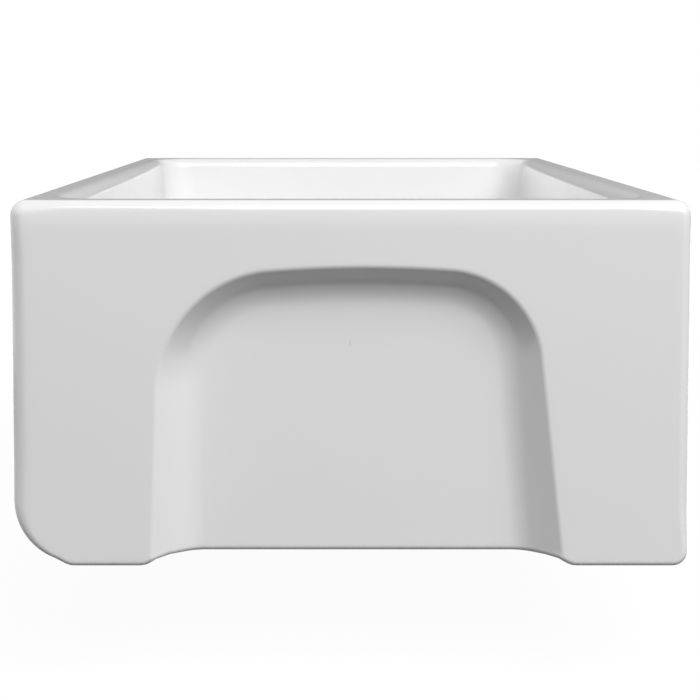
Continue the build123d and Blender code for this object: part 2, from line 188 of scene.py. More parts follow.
class NutSizes(bpy.types.PropertyGroup):
    """Sizes of the lock nut, the coupling nut and the barrel's thread."""

    barrel_radius: length("Barrel radius", "Outside of the strainer's barrel", 43)
    thread_pitch: length("Thread pitch", "Of the barrel's rolled thread", 2.8)
    thread_depth: length("Thread depth", "Radius of its ridge", 0.7)
    thread_low: length("Thread foot", "Where the thread ends below", -20)
    lock_bore: length("Lock nut bore", "Radius over the barrel", 43.1)
    lock_wall: length("Lock nut wall", "Outside the bore", 6)
    lock_low: length("Lock nut foot", "Underside", -10.5)
    lock_high: length("Lock nut top", "Under the friction ring", 1.5)
    lock_flange: length("Lock nut flange", "Width outside the wall", 4.5)
    lock_flange_depth: length("Lock nut flange depth", "Thickness", 3)
    lock_lugs: whole_number("Lock nut lugs", "For the spanner", 8, min=3)
    lug_width: length("Lug width", "Round the nut", 9)
    lug_reach: length("Lug reach", "Outwards", 5)
    lug_gap: length("Lug gap", "Lug's end to the nut's end", 0.4)
    slip_bore: length("Coupling lip bore", "Radius over the tailpiece", 19.85)
    coupling_bore: length("Coupling bore", "Radius over the outlet's thread", 23.6)
    coupling_wall: length("Coupling wall", "Outside the bore", 4)
    coupling_low: length("Coupling foot", "Underside", -53)
    coupling_seat: length("Coupling seat", "Where it bears on the tailpiece", -50.5)
    coupling_high: length("Coupling top", "Top", -35.5)
    wings: whole_number("Coupling wings", "For the hand", 6, min=3)
    wing_width: length("Wing width", "Round the nut", 8)
    wing_reach: length("Wing reach", "Outwards", 4)
    edge_round: length("Edge round", "Of turned edges", 0.8)


class KnobSizes(bpy.types.PropertyGroup):
    """Sizes of the stopper's knob."""

    bore: length("Bore", "Radius over the post", 3.55)
    neck_radius: length("Neck radius", "Under the head", 6)
    head_radius: length("Head radius", "Outside", 11)
    low: length("Foot", "Underside of the neck", 16.5)
    head_low: length("Head foot", "Underside of the head", 21.5)
    high: length("Top", "Top of the head", 28.5)
    dish: length("Dish", "Depth of the hollow in the top", 0.9)
    crown: length("Crown", "Metal over the post's end", 2.5)
    edge_round: length("Edge round", "Top edge", 3)


class Finishes(bpy.types.PropertyGroup):
    """Colours of the finishes."""

    glaze: colour("Glaze", "White glaze", (0.86, 0.86, 0.862))
    biscuit: colour("Biscuit", "Bare clay under the foot rails", (0.74, 0.69, 0.60))
    steel: colour("Steel", "Stainless sheet and turned steel", (0.62, 0.62, 0.61))
    plating: colour("Plating", "Plated brass", (0.80, 0.80, 0.80))
    brass: colour("Brass", "Cast nut", (0.72, 0.58, 0.34))
    rubber: colour("Rubber", "Gasket and seal", (0.05, 0.05, 0.052))
    fibre: colour("Fibre", "Friction ring", (0.55, 0.44, 0.30))
    nylon: colour("Nylon", "Flat washer", (0.86, 0.86, 0.82))
    putty: colour("Putty", "Bed of the flange", (0.72, 0.68, 0.58))


class StageLook(bpy.types.PropertyGroup):
    """Camera, lamps and floor."""

    camera_place: FloatVectorProperty(
        name="Camera place",
        description="Where the camera stands",
        default=(1.4663, -0.0139, 0.3201),
        subtype="TRANSLATION",
        unit="LENGTH",
    )
    camera_tilt: angle("Camera tilt", "Downwards from level", 4.02)
    camera_lens: number("Lens", "Focal length in millimetres", 83.37, min=10)
    shift_x: number("Shift across", "Lens shift", 0.0289)
    shift_y: number("Shift up", "Lens shift", -0.20)
    floor_colour: colour("Floor colour", "Studio floor", (0.06, 0.06, 0.06))
    floor_glow: number("Floor glow", "White that the camera sees in the floor", 0.955)
    card_colour: colour("Card colour", "Grey cards beside the sink", (0.28, 0.28, 0.28))
    card_glow: number("Card glow", "Grey that gloss sees behind the sink", 0.13)
    side_glow: number("Side glow", "Grey that gloss sees beside the apron", 0.65)
    under_glow: number("Under glow", "Grey that gloss sees in the card below", 0.05)
    sky_light: number("Sky light", "Even light from all sides", 0.06)
    fill_watts: number("Fill lamps", "Low soft lamps at the apron and the far end", 75)
    key_watts: number("Key lamp", "Soft lamp above the camera", 222)
    key_distance: length("Key distance", "From the near end's middle", 4000)
    key_turn: angle("Key turn", "Towards the back of the sink", 27)
    key_rise: angle("Key rise", "Above the level", 46)
    key_width: length("Key width", "Across", 4600)
    key_height: length("Key height", "Upwards", 3200)


def sizes_of(group):
    """The group's lengths in millimetres and its other values as they are, by name."""
    found = {}
    for prop in group.bl_rna.properties:
        if prop.identifier in ("rna_type", "name"):
            continue
        value = getattr(group, prop.identifier)
        in_metres = prop.unit == "LENGTH" and not prop.is_array
        found[prop.identifier] = value / MM if in_metres else value
    return type("Sizes", (), found)


# ------------------------------------------------------------------ node helper
MIX_COLOUR_SOCKETS = (0, 6, 7)      # of a Mix node: factor and the two colours
MIX_COLOUR_RESULT = 2


class Socket:
    """Wraps an output socket, so that sums on it build Math nodes."""

    def __init__(self, maker, socket):
        self.maker = maker
        self.socket = socket

    def _math(self, operation, *values):
        return self.maker.math(operation, *values)

    def __add__(self, other):
        return self._math("ADD", self, other)

    def __radd__(self, other):
        return self._math("ADD", other, self)

    def __sub__(self, other):
        return self._math("SUBTRACT", self, other)

    def __rsub__(self, other):
        return self._math("SUBTRACT", other, self)

    def __mul__(self, other):
        return self._math("MULTIPLY", self, other)

    def __rmul__(self, other):
        return self._math("MULTIPLY", other, self)

    def __truediv__(self, other):
        return self._math("DIVIDE", self, other)

    def __rtruediv__(self, other):
        return self._math("DIVIDE", other, self)


class Maker:
    """Adds nodes to a tree. Names in settings are set before the sockets."""

    def __init__(self, tree):
        self.tree = tree

    def add(self, kind, settings=None, output=0, **values):
        """A node of that kind. A value is a number, a colour or a wrapped socket."""
        node = self.tree.nodes.new(kind)
        for name, setting in (settings or {}).items():
            if name == "ramp":
                self._fill_ramp(node.color_ramp, setting)
            else:
                setattr(node, name, setting)
        for name, value in values.items():
            self._connect(self._find(node.inputs, name), value)
        return Socket(self, node.outputs[output])

    def math(self, operation, *values):
        return self._operate("ShaderNodeMath", operation, values)

    def vector(self, operation, *values, output=0):
        return self._operate("ShaderNodeVectorMath", operation, values, output)

    def mix(self, factor, first, second):
        """A blend of two colours."""
        node = self.tree.nodes.new("ShaderNodeMix")
        node.data_type = "RGBA"
        for place, value in zip(MIX_COLOUR_SOCKETS, (factor, first, second)):
            self._connect(node.inputs[place], value)
        return Socket(self, node.outputs[MIX_COLOUR_RESULT])

    def join_geometry(self, *parts):
        node = self.tree.nodes.new("GeometryNodeJoinGeometry")
        for part in parts:
            self.tree.links.new(part.socket, node.inputs[0])
        return Socket(self, node.outputs[0])

    def add_shaders(self, first, second):
        node = self.tree.nodes.new("ShaderNodeAddShader")
        for socket, shader in zip(node.inputs, (first, second)):
            self.tree.links.new(shader.socket, socket)
        return Socket(self, node.outputs[0])

    def _operate(self, kind, operation, values, output=0):
        node = self.tree.nodes.new(kind)
        node.operation = operation
        for socket, value in zip(node.inputs, values):
            self._connect(socket, value)
        return Socket(self, node.outputs[output])

    @staticmethod
    def _find(sockets, name):
        """The enabled socket whose name reads so, with _ for a space."""
        wanted = name.replace("_", " ").lower()
        for socket in sockets:
            if socket.enabled and socket.name.lower() == wanted:
                return socket
        raise KeyError(f"no socket called {wanted} among {[s.name for s in sockets]}")

    @staticmethod
    def _fill_ramp(ramp, stops):
        """Stops are pairs of a place and a grey."""
        while len(ramp.elements) < len(stops):
            ramp.elements.new(1)
        for element, (place, grey) in zip(ramp.elements, stops):
            element.position = place
            element.color = (grey, grey, grey, 1)

    def _connect(self, socket, value):
        if isinstance(value, Socket):
            self.tree.links.new(value.socket, socket)
        elif socket.type == "RGBA" and len(value) == 3:
            socket.default_value = (*value, 1)
        else:
            socket.default_value = value


# ------------------------------------------------------------------ mesh helpers
WELD = 0.004                # millimetres, within which points become one
BEVEL_STEPS = 2
BEVEL_FROM = 50             # degrees between faces
SHARP_FROM = 35.0


class Patches:
    """Collects grids of points, which are welded where they meet."""

    def __init__(self):
        self.points = []
        self.faces = []
        self.marks = {}

    def grid(self, points, closed=False, **marks):
        """Faces between the rows of an array of rows, columns and x, y, z."""
        rows, columns = points.shape[:2]
        first = sum(len(chunk) for chunk in self.points)
        self.points.append(points.reshape(-1, 3))
        for name, values in marks.items():
            full = np.broadcast_to(values, (rows, columns)).reshape(-1)
            self.marks.setdefault(name, []).append((first, full))
        ahead = columns if closed else columns - 1
        for row in range(rows - 1):
            for column in range(ahead):
                a = first + row * columns + column
                b = first + row * columns + (column + 1) % columns
                self.faces.append((a, b, b + columns, a + columns))

    def mesh(self, name):
        """The welded mesh in metres, from points in millimetres."""
        points = np.concatenate(self.points)
        keys = np.round(points / WELD).astype(np.int64)
        _, firsts, welded = np.unique(keys, axis=0, return_index=True, return_inverse=True)
        welded = welded.reshape(-1)
        faces = []
        for face in self.faces:
            ring = [int(welded[k]) for k in face]
            ring = [v for k, v in enumerate(ring) if v != ring[k - 1]]
            if len(set(ring)) == len(ring) > 2:
                faces.append(ring)
        mesh = bpy.data.meshes.new(name)
        mesh.from_pydata((points[firsts] * MM).tolist(), [], faces)
        for mark, chunks in self.marks.items():
            full = np.zeros(len(points), np.float32)
            for first, values in chunks:
                full[first : first + len(values)] = values
            layer = mesh.attributes.new(mark, "FLOAT", "POINT")
            layer.data.foreach_set("value", np.ascontiguousarray(full[firsts]))
        return mesh


def new_object(name, mesh):
    obj = bpy.data.objects.new(name, mesh)
    bpy.context.scene.collection.objects.link(obj)
    return obj


def finish_mesh(mesh, sharp_from=SHARP_FROM):
    """Faces outwards, shaded smooth with sharp edges above that angle."""
    work = bmesh.new()
    work.from_mesh(mesh)
    bmesh.ops.recalc_face_normals(work, faces=work.faces)
    work.to_mesh(mesh)
    work.free()
    mesh.shade_smooth()
    mesh.set_sharp_from_angle(angle=radians(sharp_from))


def apply_nodes(obj, tree, bevel=0.0, **inputs):
    """Runs a Geometry Nodes tree on obj with the named inputs and keeps the result as a mesh."""
    modifier = obj.modifiers.new(tree.name, "NODES")
    modifier.node_group = tree
    for item in tree.interface.items_tree:
        if item.in_out == "INPUT" and item.name in inputs:
            modifier[item.identifier] = inputs[item.name]
    if bevel:
        soften = obj.modifiers.new("soften", "BEVEL")
        soften.width = bevel
        soften.segments = BEVEL_STEPS
        soften.limit_method = "ANGLE"
        soften.angle_limit = radians(BEVEL_FROM)
    evaluated = obj.evaluated_get(bpy.context.evaluated_depsgraph_get())
    mesh = bpy.data.meshes.new_from_object(evaluated)
    obj.modifiers.clear()
    obj.data = mesh


def new_tree(name, lengths, counts=()):
    """A Geometry Nodes tree with those inputs, its maker, and its input sockets by name."""
    tree = bpy.data.node_groups.new(name, "GeometryNodeTree")
    tree.interface.new_socket("Geometry", in_out="INPUT", socket_type="NodeSocketGeometry")
    for kind, labels in (("NodeSocketFloat", lengths), ("NodeSocketInt", counts)):
        for label in labels:
            tree.interface.new_socket(label, in_out="INPUT", socket_type=kind)
    tree.interface.new_socket("Geometry", in_out="OUTPUT", socket_type="NodeSocketGeometry")
    entry = tree.nodes.new("NodeGroupInput")
    maker = Maker(tree)
    sockets = {s.name: Socket(maker, s) for s in entry.outputs if s.name}
    return tree, maker, sockets


def end_tree(maker, geometry, material):
    """Ends a tree in Realize Instances and Set Material."""
    realized = maker.add("GeometryNodeRealizeInstances", Geometry=geometry)
    painted = maker.add("GeometryNodeSetMaterial", Geometry=realized, Material=material)
    leave = maker.tree.nodes.new("NodeGroupOutput")
    maker.tree.links.new(painted.socket, leave.inputs[0])


# ------------------------------------------------------------------ materials
# Noise has its scale in grains per metre, and a relief is in metres.
OBJECT_COORDINATES = 3      # output of the Texture Coordinate node
TARNISHED_BRASS = (0.42, 0.31, 0.17)


def new_material(name):
    """An empty material, the maker of its tree, and the point on the object in metres."""
    material = bpy.data.materials.new(name)
    material.use_nodes = True
    material.node_tree.nodes.clear()
    maker = Maker(material.node_tree)
    return material, maker, maker.add("ShaderNodeTexCoord", output=OBJECT_COORDINATES)


def close_tree(maker, shader, kind="Material"):
    leave = maker.tree.nodes.new(f"ShaderNodeOutput{kind}")
    maker.tree.links.new(shader.socket, leave.inputs["Surface"])


def finish_surface(maker, tone, roughness, relief, strength, **others):
    """Ends a material in one shader, whose bump comes from the relief."""
    normal = maker.add("ShaderNodeBump", Strength=strength, Distance=1.0, Height=relief)
    shader = maker.add(
        "ShaderNodeBsdfPrincipled", Base_Color=tone, Roughness=roughness, Normal=normal, **others
    )
    close_tree(maker, shader)


def noise(maker, place, scale, detail=2.0, roughness=0.5):
    """Fractal noise from 0 to 1."""
    return maker.add(
        "ShaderNodeTexNoise", Vector=place, Scale=scale, Detail=detail, Roughness=roughness
    )


def ramp(maker, value, *stops):
    return maker.add("ShaderNodeValToRGB", {"ramp": stops}, Fac=value)


def shade(tone, factor):
    """The colour made darker or lighter."""
    return tuple(min(1.0, channel * factor) for channel in tone)


def round_axis(maker, place):
    """Distance from the drain's axis, angle round it, and height."""
    parts = maker.add("ShaderNodeSeparateXYZ", Vector=place).socket.node
    x, y, z = (Socket(maker, out) for out in parts.outputs)
    radius = maker.math("SQRT", x * x + y * y)
    return radius, maker.math("ARCTAN2", y, x), z


def turned_track(maker, place, swing):
    """A place in which noise runs in rings round the axis. Swing is metres in a radian."""
    radius, turn, height = round_axis(maker, place)
    return maker.add("ShaderNodeCombineXYZ", X=radius, Y=turn * swing, Z=height)


def glazed_fireclay(colours):
    """White glaze over fireclay, bare on the soles of the foot rails."""
    material, maker, place = new_material("glazed_fireclay")
    drift = noise(maker, place, 6.0)
    swell = noise(maker, place, 18.0, 1.0)
    peel = noise(maker, place, 260.0, 1.0)
    grain = noise(maker, place, 900.0, 4.0, 0.7)
    runs = noise(maker, maker.vector("MULTIPLY", place, (1.0, 1.0, 0.12)), 55.0)
    height = maker.add("ShaderNodeSeparateXYZ", Vector=place, output=2)
    edge = height + (drift - 0.5) * 0.0006
    bare = ramp(maker, edge / MM, (0.12, 1.0), (0.35, 0.0))
    glaze = maker.mix(drift, shade(colours.glaze, 0.985), shade(colours.glaze, 1.01))
    clay = maker.mix(grain, shade(colours.biscuit, 0.82), shade(colours.biscuit, 1.08))
    finish_surface(
        maker,
        tone=maker.mix(bare, glaze, clay),
        roughness=0.07 + 0.03 * peel + 0.6 * bare,
        relief=swell * 0.00018 + runs * 0.00012 + peel * 0.000004 + grain * bare * 0.0003,
        strength=0.6,
        IOR=1.5,
    )
    return material


def turned_steel(name, colours, rough=0.2, lines=1400.0):
    """Stainless with the fine rings of turning or spinning round the drain's axis."""
    material, maker, place = new_material(name)
    track = turned_track(maker, place, 0.0006)
    rings = noise(maker, track, lines, 3.0, 0.65)
    broad = noise(maker, track, lines / 9.0, 1.0)
    cloud = noise(maker, place, 45.0)
    tint = maker.mix(cloud, shade(colours.steel, 0.93), shade(colours.steel, 1.05))
    finish_surface(
        maker,
        tone=maker.mix(rings * 0.5, tint, shade(colours.steel, 0.82)),
        roughness=rough - 0.06 + 0.16 * rings + 0.05 * cloud,
        relief=rings * 0.000012 + broad * 0.00002,
        strength=0.35,
        Metallic=1.0,
    )
    return material


def bright_plating(colours):
    """Chrome plate over turned brass, with faint drying marks."""
    material, maker, place = new_material("bright_plating")
    rings = noise(maker, turned_track(maker, place, 0.002), 900.0, 2.0)
    film = noise(maker, place, 70.0, 3.0, 0.6)
    marks = ramp(maker, film, (0.52, 0.0), (0.60, 1.0), (0.64, 0.2), (0.72, 0.0))
    finish_surface(
        maker,
        tone=maker.mix(marks * 0.3, tuple(colours.plating), shade(colours.plating, 0.86)),
        roughness=0.06 + 0.05 * rings + 0.10 * marks,
        relief=rings * 0.000006,
        strength=0.3,
        Metallic=1.0,
    )
    return material


def cast_brass(colours):
    """Sand-cast brass, tarnished in patches and rubbed bright on the grain's tops."""
    material, maker, place = new_material("cast_brass")
    sand = noise(maker, place, 1500.0, 3.0, 0.6)
    lumps = noise(maker, place, 320.0, 2.0)
    tarnish = ramp(maker, noise(maker, place, 60.0, 4.0, 0.6), (0.35, 0.0), (0.7, 1.0))
    fresh = maker.mix(sand, shade(colours.brass, 0.85), shade(colours.brass, 1.12))
    finish_surface(
        maker,
        tone=maker.mix(tarnish * 0.55, fresh, TARNISHED_BRASS),
        roughness=0.30 + 0.18 * sand + 0.12 * tarnish,
        relief=sand * 0.00005 + lumps * 0.00012,
        strength=0.8,
        Metallic=1.0,
    )
    return material


def moulded_rubber(colours):
    """Matt black rubber with a bloom and the fine grain of the mould."""
    material, maker, place = new_material("moulded_rubber")
    bloom = ramp(maker, noise(maker, place, 90.0, 3.0), (0.4, 0.0), (0.75, 1.0))
    grain = noise(maker, place, 1800.0, 2.0)
    finish_surface(
        maker,
        tone=maker.mix(bloom * 0.6, shade(colours.rubber, 0.8), shade(colours.rubber, 2.0)),
        roughness=0.52 + 0.14 * grain + 0.12 * bloom,
        relief=grain * 0.00004,
        strength=0.5,
    )
    return material


def pressed_fibre(colours):
    """Brown fibre board: matted strands and darker flecks."""
    material, maker, place = new_material("pressed_fibre")
    stretched = maker.vector("MULTIPLY", place, (0.25, 1.0, 1.0))
    crossed = maker.vector("MULTIPLY", place, (1.0, 0.25, 1.0))
    strands = maker.math("MAXIMUM", noise(maker, stretched, 1400.0), noise(maker, crossed, 1400.0))
    flecks = ramp(maker, noise(maker, place, 800.0, 1.0), (0.62, 0.0), (0.70, 1.0))
    body = maker.mix(strands, shade(colours.fibre, 0.7), shade(colours.fibre, 1.2))
    finish_surface(
        maker,
        tone=maker.mix(flecks * 0.7, body, shade(colours.fibre, 0.45)),
        roughness=0.78 + 0.12 * strands,
        relief=strands * 0.00008,
        strength=0.7,
    )
    return material


def moulded_nylon(colours):
    """Waxy white nylon with the faint flow of the mould."""
    material, maker, place = new_material("moulded_nylon")
    radius, turn, _ = round_axis(maker, place)
    track = maker.add("ShaderNodeCombineXYZ", X=radius * 0.4, Y=turn * 0.03, Z=radius)
    flow = noise(maker, track, 500.0, 2.0)
    scuff = noise(maker, place, 1200.0, 2.0)
    finish_surface(
        maker,
        tone=maker.mix(flow, shade(colours.nylon, 0.94), shade(colours.nylon, 1.03)),
        roughness=0.34 + 0.12 * scuff,
        relief=scuff * 0.00002,
        strength=0.4,
    )
    return material


def set_putty(colours):
    """Plumber's putty: kneaded, slightly oily, with small pits."""
    material, maker, place = new_material("set_putty")
    knead = noise(maker, place, 240.0, 3.0, 0.6)
    pits = ramp(maker, noise(maker, place, 1100.0, 1.0), (0.28, 1.0), (0.36, 0.0))
    finish_surface(
        maker,
        tone=maker.mix(knead, shade(colours.putty, 0.82), shade(colours.putty, 1.08)),
        roughness=0.55 + 0.2 * knead,
        relief=knead * 0.0003 - pits * 0.0001,
        strength=0.7,
    )
    return material


def finish_node(name, material):
    """Gives a carried-over solid its material."""
    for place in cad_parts[name].material_slots:
        place.material = material


# ------------------------------------------------------------------ the casting
# Rows run from the outline in to the middle of an alcove, columns run along the outline.
FACE_ROWS = 22              # from the end's edge round to the alcove's
EDGE_ROWS = 8               # over the alcove's edge round
BLEND_ROWS = 12             # over the round at its floor
FLOOR_ROWS = 8              # over its floor
ROUND_ROWS = 9              # over the end's edge round
LOWER_COLUMNS = 18          # front lower round, above its middle
BACK_LOWER_COLUMNS = 8
UPRIGHT_COLUMNS = 58        # from there to the top's end, its round included
CORNER_COLUMNS = 12         # upper corners of the outline
TOP_COLUMNS = 92
CROWN_COLUMNS = 55          # of the alcove's mouth, between its upper corners
MOUTH_CORNER_COLUMNS = 8    # half a corner of the bowl's mouth
LONG_COLUMNS = 44           # along the sink
ROUND_POINTS = 25           # on each round of the outline
RUN_POINTS = 1500           # at which a place on the underside is looked up
ARCH_TABLE = 50             # insets for which the alcove's mouth is worked out
CORNER_TRIES = 8            # in which a mouth corner's centre settles under the crown
FOOT_TRIES = 4              # in which a side's foot settles on the underside
EDGE_LOOPS = 9              # over the rim's inner round
WALL_LOOPS = 15             # down the bowl's wall
COVE_LOOPS = 13             # over the cove
FALL_LOOPS = 14             # from the cove to the landing
# Corners of the outline, by their numbers in Outline.
LOW_FRONT, TOP_FRONT, TOP_BACK, LOW_BACK = 5, 6, 7, 8
# Lengths in millimetres and shares that shape the mesh and aren't sizes of the sink.
MOUTH_CORNER_REACH = 34.0   # of the rim, beside each corner, for the corner's columns
ROUND_CHANGE = 30           # along the outline, over which the end's edge round changes
TOP_ROUND_SHARE = 0.9       # the end's edge round at the long edges, of their own round
LOW_ROUND_LESS = 1.5        # the front end round at its foot is smaller by this
FEET_SHARE = 0.25           # of the columns, which bends to meet the underside
SPINE_DROP = 1.5            # the floor's middle line under the crown, in widths of its wall
RECESS_EDGE = 1             # bevel of the drain recess's edge
RIM_SHARES = (0, 0.2, 0.5, 0.8)     # rows of the rim's flat, from its outer edge in
EASE_BAND = 12              # beside the end face, leans in wholly; from there the lean fades
UNDER_DRAIN = 1.45          # half the square that is cut from the underside, in drain radii
UNDER_HIGH = 8              # height below which the underside's faces lie
OFF_ALCOVE = -100.0         # inset of points that no alcove moves


class Outline:
    """The casting's section: a closed line from the middle of the underside over the front."""

    def __init__(self, s):
        self.front = -SINK_WIDTH / MM / 2
        self.back = SINK_WIDTH / MM / 2
        self.height = SINK_HEIGHT / MM
        step_run = s.underside_rise / tan(s.rail_step_slope)
        rail_y = self.front + s.front_rail_setback
        rail_end_y = rail_y + s.front_rail_width
        back_rail_y = self.back - s.back_rail_width
        knee_z = s.tuck_rise + s.tuck_setback * tan(s.tuck_slope)
        corners = [
            (0, s.underside_rise, 0),
            (rail_end_y + step_run, s.underside_rise, s.rail_step_round),
            (rail_end_y, 0, s.rail_step_round),
            (rail_y, 0, s.rail_step_round),
            (self.front + s.tuck_setback, s.tuck_rise, s.tuck_round),
            (self.front, knee_z, s.apron_lower_round),
            (self.front, self.height, s.rim_outer_round),
            (self.back, self.height, s.rim_outer_round),
            (self.back, 0, s.back_lower_round),
            (back_rail_y, 0, s.rail_step_round),
            (back_rail_y - step_run, s.underside_rise, s.rail_step_round),
            (0, s.underside_rise, 0),
        ]
        self.line, self.heading, self.arcs = rounded_line(corners)
        runs = np.linalg.norm(np.diff(self.line, axis=0), axis=1)
        self.run = np.concatenate([[0], np.cumsum(runs)])
        self.lay_rounds(s)

    def arc(self, corner):
        """Where along the line that corner's round starts and ends."""
        first, last = self.arcs[corner]
        return self.run[first], self.run[last]

    def lay_rounds(self, s):
        """Radius of the end's edge along the line."""
        low_front, top_front = self.arc(LOW_FRONT), self.arc(TOP_FRONT)
        top_back, low_back = self.arc(TOP_BACK), self.arc(LOW_BACK)
        corner = TOP_ROUND_SHARE * s.rim_outer_round
        self.round_places, self.round_radii = zip(
            (low_front[0], s.foot_end_round),
            (low_front[1], s.front_end_round - LOW_ROUND_LESS),
            (low_front[1] + ROUND_CHANGE, s.front_end_round),
            (top_front[0] - ROUND_CHANGE, s.front_end_round),
            (top_front[0], corner),
            (top_front[1], corner),
            (top_front[1] + ROUND_CHANGE, s.top_end_round),
            (top_back[0] - ROUND_CHANGE, s.top_end_round),
            (top_back[0], min(corner, s.back_end_round)),
            (top_back[1] + ROUND_CHANGE, s.back_end_round),
            (low_back[0] - ROUND_CHANGE, s.back_end_round),
            (low_back[0], s.foot_end_round),
        )

    def at(self, run):
        """The line's points, the way inwards from them, and the end's edge round there."""
        point = np.column_stack([np.interp(run, self.run, self.line[:, k]) for k in (0, 1)])
        ahead = np.column_stack([np.interp(run, self.run, self.heading[:, k]) for k in (0, 1)])
        ahead /= np.linalg.norm(ahead, axis=1)[:, None]
        inward = np.column_stack([ahead[:, 1], -ahead[:, 0]])
        return point, inward, np.interp(run, self.round_places, self.round_radii)

    def moved_in(self, run):
        """The line's points moved in by the end's edge round."""
        point, inward, rounds = self.at(run)
        return point + inward * rounds[:, None]

    def foot_run(self, y):
        """Where along the underside the moved-in line is at y."""
        if y < 0:
            ahead = np.linspace(0, self.arc(LOW_FRONT)[0], RUN_POINTS)
        else:
            ahead = np.linspace(self.arc(LOW_BACK)[1], self.run[-1], RUN_POINTS)
        return np.interp(-y, -self.moved_in(ahead)[:, 0], ahead)


def rounded_line(corners, steps=ROUND_POINTS):
    """Points and headings along straight runs whose corners are rounded.

    Corners are (across, up, round). The third result holds, for each corner, the numbers of
    the first and last point of its round.
    """
    flat = [np.array(corner[:2], float) for corner in corners]
    first_way = (flat[1] - flat[0]) / np.linalg.norm(flat[1] - flat[0])
    points, headings, arcs = [flat[0]], [first_way], [(0, 0)]
    for before, here, after, corner in zip(flat, flat[1:], flat[2:], corners[1:]):
        way_in = (here - before) / np.linalg.norm(here - before)
        way_out = (after - here) / np.linalg.norm(after - here)
        turn = atan2(way_in[0] * way_out[1] - way_in[1] * way_out[0], way_in @ way_out)
        start = here - way_in * corner[2] * tan(abs(turn) / 2)
        side = np.array([-way_in[1], way_in[0]]) * (1 if turn > 0 else -1)
        points_here = steps if corner[2] else 1
        arcs.append((len(points), len(points) + points_here - 1))
        for swing in abs(turn) * np.linspace(0, 1, points_here):
            points.append(start + corner[2] * (way_in * sin(swing) + side * (1 - cos(swing))))
            headings.append(way_in * cos(swing) + side * sin(swing))
    points.append(flat[-1])
    headings.append(way_out)
    arcs.append((len(points) - 1, len(points) - 1))
    return np.array(points), np.array(headings), arcs


